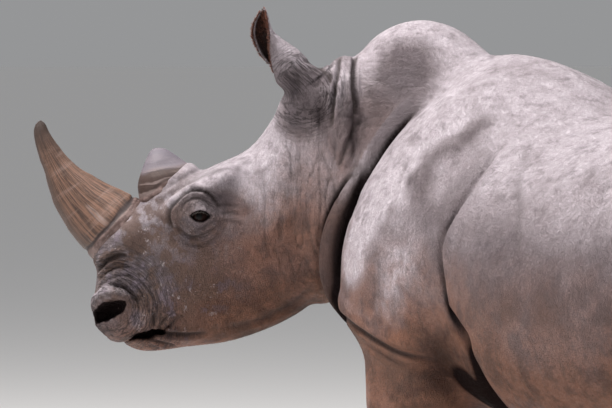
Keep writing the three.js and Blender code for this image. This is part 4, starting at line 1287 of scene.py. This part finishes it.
def make_horn(name, rows, node, skirt_rows, seed):
    """A horn on its rows of sections: a rough fibrous foot under a smooth, ringed shaft."""
    front_horn = "front" in name
    around, steps = 96, 150 if front_horn else 90
    curve = rows_curve([[n, *row] for n, row in enumerate(rows)])
    s = np.linspace(0, len(rows) - 1, steps)
    rear_f, rear_u, front_f, front_u, half = curve(s)
    angle = 2 * np.pi * np.arange(around) / around
    circle = np.stack([np.cos(angle), np.sin(angle)], 1)
    middle = np.stack([rear_f + front_f, 0 * s, rear_u + front_u], 1) / 2
    ahead = np.stack([front_f - rear_f, 0 * s, front_u - rear_u], 1) / 2
    aside = half[:, None] * [0, 1, 0]
    out = circle[:, :1] * ahead[:, None] + circle[:, 1:] * aside[:, None]
    points = middle[:, None] + out
    reach = np.linalg.norm(out, axis=-1, keepdims=True)
    out = out / np.maximum(reach, 1e-6)
    rise = np.repeat((s / s[-1])[:, None], around, 1)
    length = np.concatenate([[0], np.cumsum(np.linalg.norm(np.diff(middle, axis=0), axis=1))])
    along = np.repeat(length[:, None], around, 1)
    if not front_horn:
        along = points @ [-0.5, 0, 0.866]  # its rings lie nearly level
    circles = np.repeat(circle[None] * 60, steps, 0)
    flat = np.concatenate([circles, along[..., None]], -1).reshape(-1, 3)
    wavy = smooth_noise(flat, 40, seed).reshape(steps, around) * 0.35
    skirt = 1 - soft(s[:, None] + wavy, skirt_rows - 0.12, skirt_rows + 0.12)
    groove = np.exp(-((s[:, None] + wavy - skirt_rows) / 0.13) ** 2)
    cords, lumps, rings = (
        smooth_noise(flat * stretch, 1, seed + n).reshape(steps, around)
        for n, stretch in ((1, [0.32, 0.32, 0.016]), (2, [1 / 16] * 3), (3, [0.006, 0.006, 0.06])))
    fade = soft(rise, 0, 0.02) * (1 - 0.6 * rise)
    cords_height, ring_height, cut = (1.1, 1.2, 5.0) if front_horn else (0.4, 2.6, 1.5)
    push = (cords_height * cords + ring_height * rings) * fade
    push += skirt * (3.0 * lumps + 1.5) - cut * groove
    points = points + out * push[..., None]
    caps = np.stack([middle[0], middle[-1] + [0, 0, 2]])
    spots = from_skull(np.concatenate([points.reshape(-1, 3), caps]))
    piece = add_mesh(name, spots, tube_faces(steps, around), [node], MATERIALS["horn"])
    if front_horn:
        # Painted shade along the front horn's front edge.
        front = soft(circle[:, 0], 0.55, 0.95) * (1 - soft(rise, 0.8, 0.95))
        tip = soft(rise, 0.55, 0.95)
    else:
        front, tip = 0 * rise, soft(along + 14 * wavy, -156, -136)
        groove = 0.4 * groove
    give(piece, "fibre", np.concatenate([flat, [flat[0], flat[-1]]]) / 1000)
    # The groove also carries painted shade above the foot, weaker on the rear horn.
    for key, values, low, high in (("front", front, 0, 0), ("tip", tip, 0, 1),
                                   ("skirt", skirt, 1, 0), ("groove", groove, 0, 0)):
        give(piece, key, np.concatenate([values.ravel(), [low, high]]))
    give(piece, "ringed", np.full(len(spots), float(not front_horn)))


def ball(detail):
    mesh = bmesh.new()
    bmesh.ops.create_icosphere(mesh, subdivisions=detail, radius=1)
    spots = np.array([v.co for v in mesh.verts])
    faces = np.array([[v.index for v in f.verts] for f in mesh.faces])
    mesh.free()
    return spots, faces


def make_eye(name, mirror):
    """The eyeball, with the clear bulge over its iris, looking out between the lids."""
    unit, faces = ball(6)
    gaze = np.array([0.10, 0.99, 0.06])
    gaze /= np.linalg.norm(gaze)
    off = np.degrees(np.arccos(np.clip(unit @ gaze, -1, 1)))
    bulge = 1.6 * (1 - soft(off, 4, 44))
    local = unit * (EYE_RADIUS - 0.8 + bulge)[:, None] + EYE_AT
    faces = faces if mirror < 0 else faces[:, ::-1]
    piece = add_mesh(name + "_looks", from_skull(local * [1, mirror, 1]), [faces], [name],
                     MATERIALS["eye"])
    give(piece, "gaze", off / 60)
    give(piece, "rays", unit * [4, 0.4, 4])


# Toenails on each foot: [turn from straight ahead, half width, half height, half depth]
NAILS = [(0, 47, 44, 22), (-58, 38, 38, 20), (58, 38, 38, 20)]
NAIL_LIFT = 4
FEET = {
    "front_left": (FORE_FOOT, -1, 0, (-20, 128, 120)),
    "front_right": (FORE_FOOT, 1, STRIDE["fore_right"], (-20, 128, 120)),
    "hind_left": (HIND_FOOT, -1, STRIDE["hind_left"], (-8, 120, 112)),
    "hind_right": (HIND_FOOT, 1, STRIDE["hind_right"], (-8, 120, 112)),
}


def make_nails(foot, place, side, stride, row):
    """Three nails round the front of a foot, lifted a little off the floor."""
    shift, long, wide = row
    side_shift = -4 if foot.startswith("hind") else 0
    unit, faces = ball(5)
    for i, (turned, half, high, deep) in enumerate(NAILS):
        angle = math.radians(turned)
        centre = np.array([
            place[0] + stride + shift - math.cos(angle) * (long - deep / 2),
            side * (place[1] + side_shift) + math.sin(angle) * (wide - deep / 2), high - 6])
        shape = np.sign(unit) * np.abs(unit) ** 0.86
        shape = shape / np.max(np.linalg.norm(shape, axis=1)) * [deep, half, high] * 1.04
        ridges = smooth_noise(shape[:, [1, 0, 2]] * [1, 1, 0.1], 9, 20 + i)
        shape = shape + unit * (0.8 * ridges)[:, None]
        spots = shape @ turn(z=-turned).T + centre
        spots[:, 2] = np.maximum(spots[:, 2], NAIL_LIFT)
        name = f"nail_{foot}_{i + 1}"
        add_mesh(name + "_looks", spots, [faces], [name], MATERIALS["nail"])


# ---------------------------------------------------------------- hair

def make_tufts(name, roots, aims, lengths, widths, patch, material, seed):
    """Thin closed hairs, three-sided, from their roots; patch gives each root's place on
    the unwrapped skin, where the whole hair lies in a square 0.003 across."""
    rng = np.random.default_rng(seed)
    levels = np.array([0, 0.35, 0.7])
    count = len(roots)
    aims = aims / np.linalg.norm(aims, axis=1, keepdims=True)
    other = np.cross(aims, rng.normal(size=(count, 3)))
    other /= np.linalg.norm(other, axis=1, keepdims=True)
    third = np.cross(aims, other)
    spots, along = [], []
    for level in levels:
        centre = roots + aims * (lengths * level)[:, None]
        for corner in range(3):
            angle = 2 * np.pi * corner / 3
            offset = other * math.cos(angle) + third * math.sin(angle)
            spots.append(centre + offset * (widths * (1 - level * 0.75))[:, None])
            along.append(np.full(count, level))
    spots.append(roots + aims * lengths[:, None])
    along.append(np.ones(count))
    per = len(spots)
    spots = np.stack(spots, 1).reshape(-1, 3)
    along = np.stack(along, 1).ravel()
    quads, tris = [], [(2, 1, 0)]
    for level in range(len(levels) - 1):
        for corner in range(3):
            a, b = level * 3 + corner, level * 3 + (corner + 1) % 3
            quads.append((a, b, b + 3, a + 3))
    top = (len(levels) - 1) * 3
    tris += [(top + c, top + (c + 1) % 3, per - 1) for c in range(3)]
    base = np.arange(count)[:, None, None] * per
    faces = [(np.array(part)[None] + base).reshape(-1, len(part[0])) for part in (quads, tris)]
    piece = add_mesh(name, spots, faces, [], MATERIALS[material])
    give(piece, "length", along)
    uv = np.repeat(patch, per, 0)
    corner = np.tile(np.arange(per) % 3, count) * 0.0013
    uv = uv + np.stack([corner, along * 0.0028], 1)
    loops = np.concatenate([f.ravel() for f in faces])
    layer = piece.data.uv_layers.new(name="OFBake")
    layer.data.foreach_set("uv", uv[loops].astype(np.float32).ravel())


def on_map(across, up):
    """Places on the unwrapped skin, from shares between 0 and 1, clear of its edges."""
    return 0.05 + 0.9 * np.stack([across, up], 1)


def on_side(roots, aims, mirror):
    """Hairs on the right side of the skull, placed on the given side of the animal."""
    flip = [1, mirror, 1]
    return from_skull(roots * flip), from_skull(aims * flip) - POLL


def make_ear_hair(name, mirror):
    """Dark hair in the ear and a russet fringe on its rims and tip."""
    rng = np.random.default_rng(41)
    count = 2600
    spread_out = count * 2 // 3  # the rest stand near the tip
    up = np.concatenate([rng.uniform(120, 274, spread_out),
                         rng.uniform(225, 275, count - spread_out)])
    f, s, radius, low, high, _ = ear_at(up)
    rim = rng.random(count) < 0.62
    edge = rng.random(count) < 0.5
    spread = rng.uniform(0, 1, count)
    by_rim = np.where(edge, low + 10 * spread, high - 10 * spread)
    angle = np.radians(np.where(rim, by_rim, low + (high - low) * spread))
    ring = np.stack([np.cos(angle), np.sin(angle), 0 * angle], 1)
    inset = np.where(rim, 3.0, 8.0)
    roots = np.stack([f, s, up], 1) + ring * (radius - inset)[:, None]
    opening = np.radians((low + high) / 2 + 180)
    mouth = np.stack([np.cos(opening), np.sin(opening), 0 * opening], 1)
    aims = np.where(rim[:, None], mouth * 0.55 + ring * 0.12, -ring * 0.35 + mouth * 0.45)
    aims = aims + [0, 0, 0.75] + rng.normal(0, 0.14, (count, 3))
    lengths = np.where(rim, rng.uniform(9, 19, count), rng.uniform(8, 16, count))
    lengths = lengths * (0.55 + 0.45 * soft(up, 140, 230)) * (1 - 0.5 * soft(up, 250, 275))
    roots, aims = on_side(roots, aims, mirror)
    patch = on_map(np.degrees(angle) % 360 / 360, (up - 100) / 180)
    widths = rng.uniform(0.5, 0.9, count)
    make_tufts(name, roots, aims, lengths, widths, patch, "ear_hair", 42)


def make_tail_hair():
    """A coarse tuft, thickest along the two edges of the tail's flattened end."""
    rng = np.random.default_rng(51)
    count = 1300
    z = rng.uniform(745, 905, count)
    shift, long, shift_y, wide = rows_curve(TAIL)(z)
    angle = rng.uniform(0, 2 * np.pi, count)
    at_edge = rng.random(count) < 0.7
    edge = np.round(angle / np.pi) * np.pi + rng.normal(0, 0.35, count)
    angle = np.where(at_edge, edge, angle)
    ring = np.stack([np.cos(angle), np.sin(angle), 0 * angle], 1)
    out = np.stack([long, wide, wide], 1) - 1.5
    roots = np.stack([TAIL_ROOT + shift, shift_y, z], 1) + ring * out
    aims = ring * 0.14 + [0, 0, -1.0] + rng.normal(0, 0.05, (count, 3))
    lengths = np.minimum(rng.uniform(60, 130, count), (z - 692) * rng.uniform(0.85, 1.0, count))
    patch = on_map(angle / (2 * np.pi) % 1, (z - 700) / 220)
    widths = rng.uniform(0.7, 1.1, count)
    make_tufts("tail_tuft", roots, aims, lengths, widths, patch, "tail_hair", 52)


def make_lashes(name, mirror):
    """Lashes along the upper lid, pointing outwards and a little down."""
    rng = np.random.default_rng(61)
    count = 130
    t = rng.uniform(-0.95, 0.95, count)
    tilt = math.radians(HEAD_PITCH)
    along, across = 23 * t, 11 * (1 - t ** 2) ** 0.8 + rng.uniform(0, 2.5, count)
    forward = EYE_AT[0] + along * math.cos(tilt) - across * math.sin(tilt)
    up = EYE_AT[2] + along * math.sin(tilt) + across * math.cos(tilt)
    gap = np.hypot(forward - EYE_AT[0], up - EYE_AT[2])
    side = EYE_AT[1] + np.sqrt(np.maximum((EYE_RADIUS + LID) ** 2 - gap ** 2, 4)) - 1.5
    roots = np.stack([forward, side, up], 1)
    down = np.array([math.sin(tilt), 0, -math.cos(tilt)])
    aims = down * 0.35 + [0, 1.0, 0] + rng.normal(0, 0.1, (count, 3))
    roots, aims = on_side(roots, aims, mirror)
    patch = np.stack([0.5 + 0.4 * t, 0.5 + rng.uniform(-0.1, 0.1, count)], 1)
    lengths, widths = rng.uniform(7, 12, count), rng.uniform(0.35, 0.5, count)
    make_tufts(name, roots, aims, lengths, widths, patch, "lashes", 62)


FLESH = ["head", "neck", "trunk", "tail", "ear_left", "ear_right",
         "leg_front_left", "leg_front_right", "leg_hind_left", "leg_hind_right"]
MATERIALS = {
    "horn": horn_material(), "eye": eye_material(), "nail": nail_material(),
    "ear_hair": hair_material("ear_hair", (0.020, 0.010, 0.008), (0.16, 0.045, 0.020)),
    "tail_hair": hair_material("tail_hair", (0.018, 0.014, 0.012), (0.05, 0.035, 0.028)),
    "lashes": hair_material("lash_hair", (0.015, 0.012, 0.010), (0.03, 0.022, 0.018)),
}

make_skin()
make_horn("horn_front_looks", FRONT_HORN, "horn_front", 1.15, 31)
make_horn("horn_rear_looks", REAR_HORN, "horn_rear", 0.45, 35)
for side_name, mirror in (("left", -1), ("right", 1)):
    make_eye("eye_" + side_name, mirror)
    make_ear_hair(f"ear_{side_name}_hair", mirror)
    make_lashes(f"lashes_{side_name}", mirror)
for foot, where in FEET.items():
    make_nails(foot, *where)
make_tail_hair()


# ---------------------------------------------------------------- camera, floor and light

VIEW_YAW, VIEW_PITCH = 50, 1.683
VIEW_DISTANCE, VIEW_SIDE, VIEW_HEIGHT = 13.682, -0.546, 1.611  # metres
VIEW_LENS = 288.2
FLOOR_HALF = 900
SKY_LOW, SKY_HIGH = 0.31, 0.42  # the level backdrop is as bright as the far floor
# [name, place in metres, size, watts, colour]
LIGHTS = [
    ("key", (-3.0, -3.4, 7.8), 2.4, 1190, (1.0, 0.965, 0.94)),
    ("top", (1.2, 0.6, 8.5), 5.0, 525, (1.0, 0.98, 0.97)),
    ("fill", (8, -9, 4.0), 8.0, 110, (0.95, 0.95, 1.0)),
]
LIT_POINT = Vector((0, 0, 1.1))  # where the lights point


def make_camera():
    yaw = math.radians(VIEW_YAW)
    ahead = Vector((-math.sin(yaw), math.cos(yaw), 0))
    right = Vector((math.cos(yaw), math.sin(yaw), 0))
    camera = bpy.data.objects.new("camera", bpy.data.cameras.new("camera"))
    camera.location = (right * VIEW_SIDE - ahead * VIEW_DISTANCE
                       + Vector((0, 0, VIEW_HEIGHT)) - Vector(MIDDLE / 1000))
    camera.rotation_euler = (math.radians(90 - VIEW_PITCH), 0, yaw)
    camera.data.lens = VIEW_LENS
    camera.data.sensor_width = 36
    camera.data.clip_end = 3000
    bpy.context.scene.collection.objects.link(camera)
    bpy.context.scene.camera = camera


def floor_material():
    s = Shade("pale_floor")
    return s.finish(Base_Color=(0.80, 0.79, 0.78, 1), Roughness=0.9)


def make_floor():
    mesh = bpy.data.meshes.new("floor")
    corners = [(x * FLOOR_HALF, y * FLOOR_HALF, 0) for x, y in ((-1, -1), (1, -1), (1, 1), (-1, 1))]
    mesh.from_pydata(corners, [], [(0, 1, 2, 3)])
    floor = bpy.data.objects.new("floor", mesh)
    bpy.context.scene.collection.objects.link(floor)
    mesh.materials.append(floor_material())
    floor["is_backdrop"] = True


def make_lights():
    bpy.context.scene.view_settings.view_transform = "Standard"
    world = bpy.data.worlds.new("studio")
    world.use_nodes = True
    nodes, links = world.node_tree.nodes, world.node_tree.links
    place, part = nodes.new("ShaderNodeTexCoord"), nodes.new("ShaderNodeSeparateXYZ")
    rise = nodes.new("ShaderNodeMapRange")
    rise.inputs["To Min"].default_value, rise.inputs["To Max"].default_value = SKY_LOW, SKY_HIGH
    links.new(place.outputs["Generated"], part.inputs[0])
    links.new(part.outputs["Z"], rise.inputs["Value"])
    links.new(rise.outputs[0], nodes["Background"].inputs["Strength"])
    nodes["Background"].inputs["Color"].default_value = (0.97, 0.98, 1.0, 1)
    bpy.context.scene.world = world
    for name, place, size, power, colour in LIGHTS:
        data = bpy.data.lights.new(name, "AREA")
        data.size, data.energy, data.color = size, power, colour
        lamp = bpy.data.objects.new(name, data)
        lamp.location = place
        lamp.rotation_euler = (Vector(place) - LIT_POINT).to_track_quat("Z", "Y").to_euler()
        bpy.context.scene.collection.objects.link(lamp)


make_camera()
make_floor()
make_lights()

boxes = [[list(corner) for corner in box] for box in (CAD_BOX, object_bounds())]
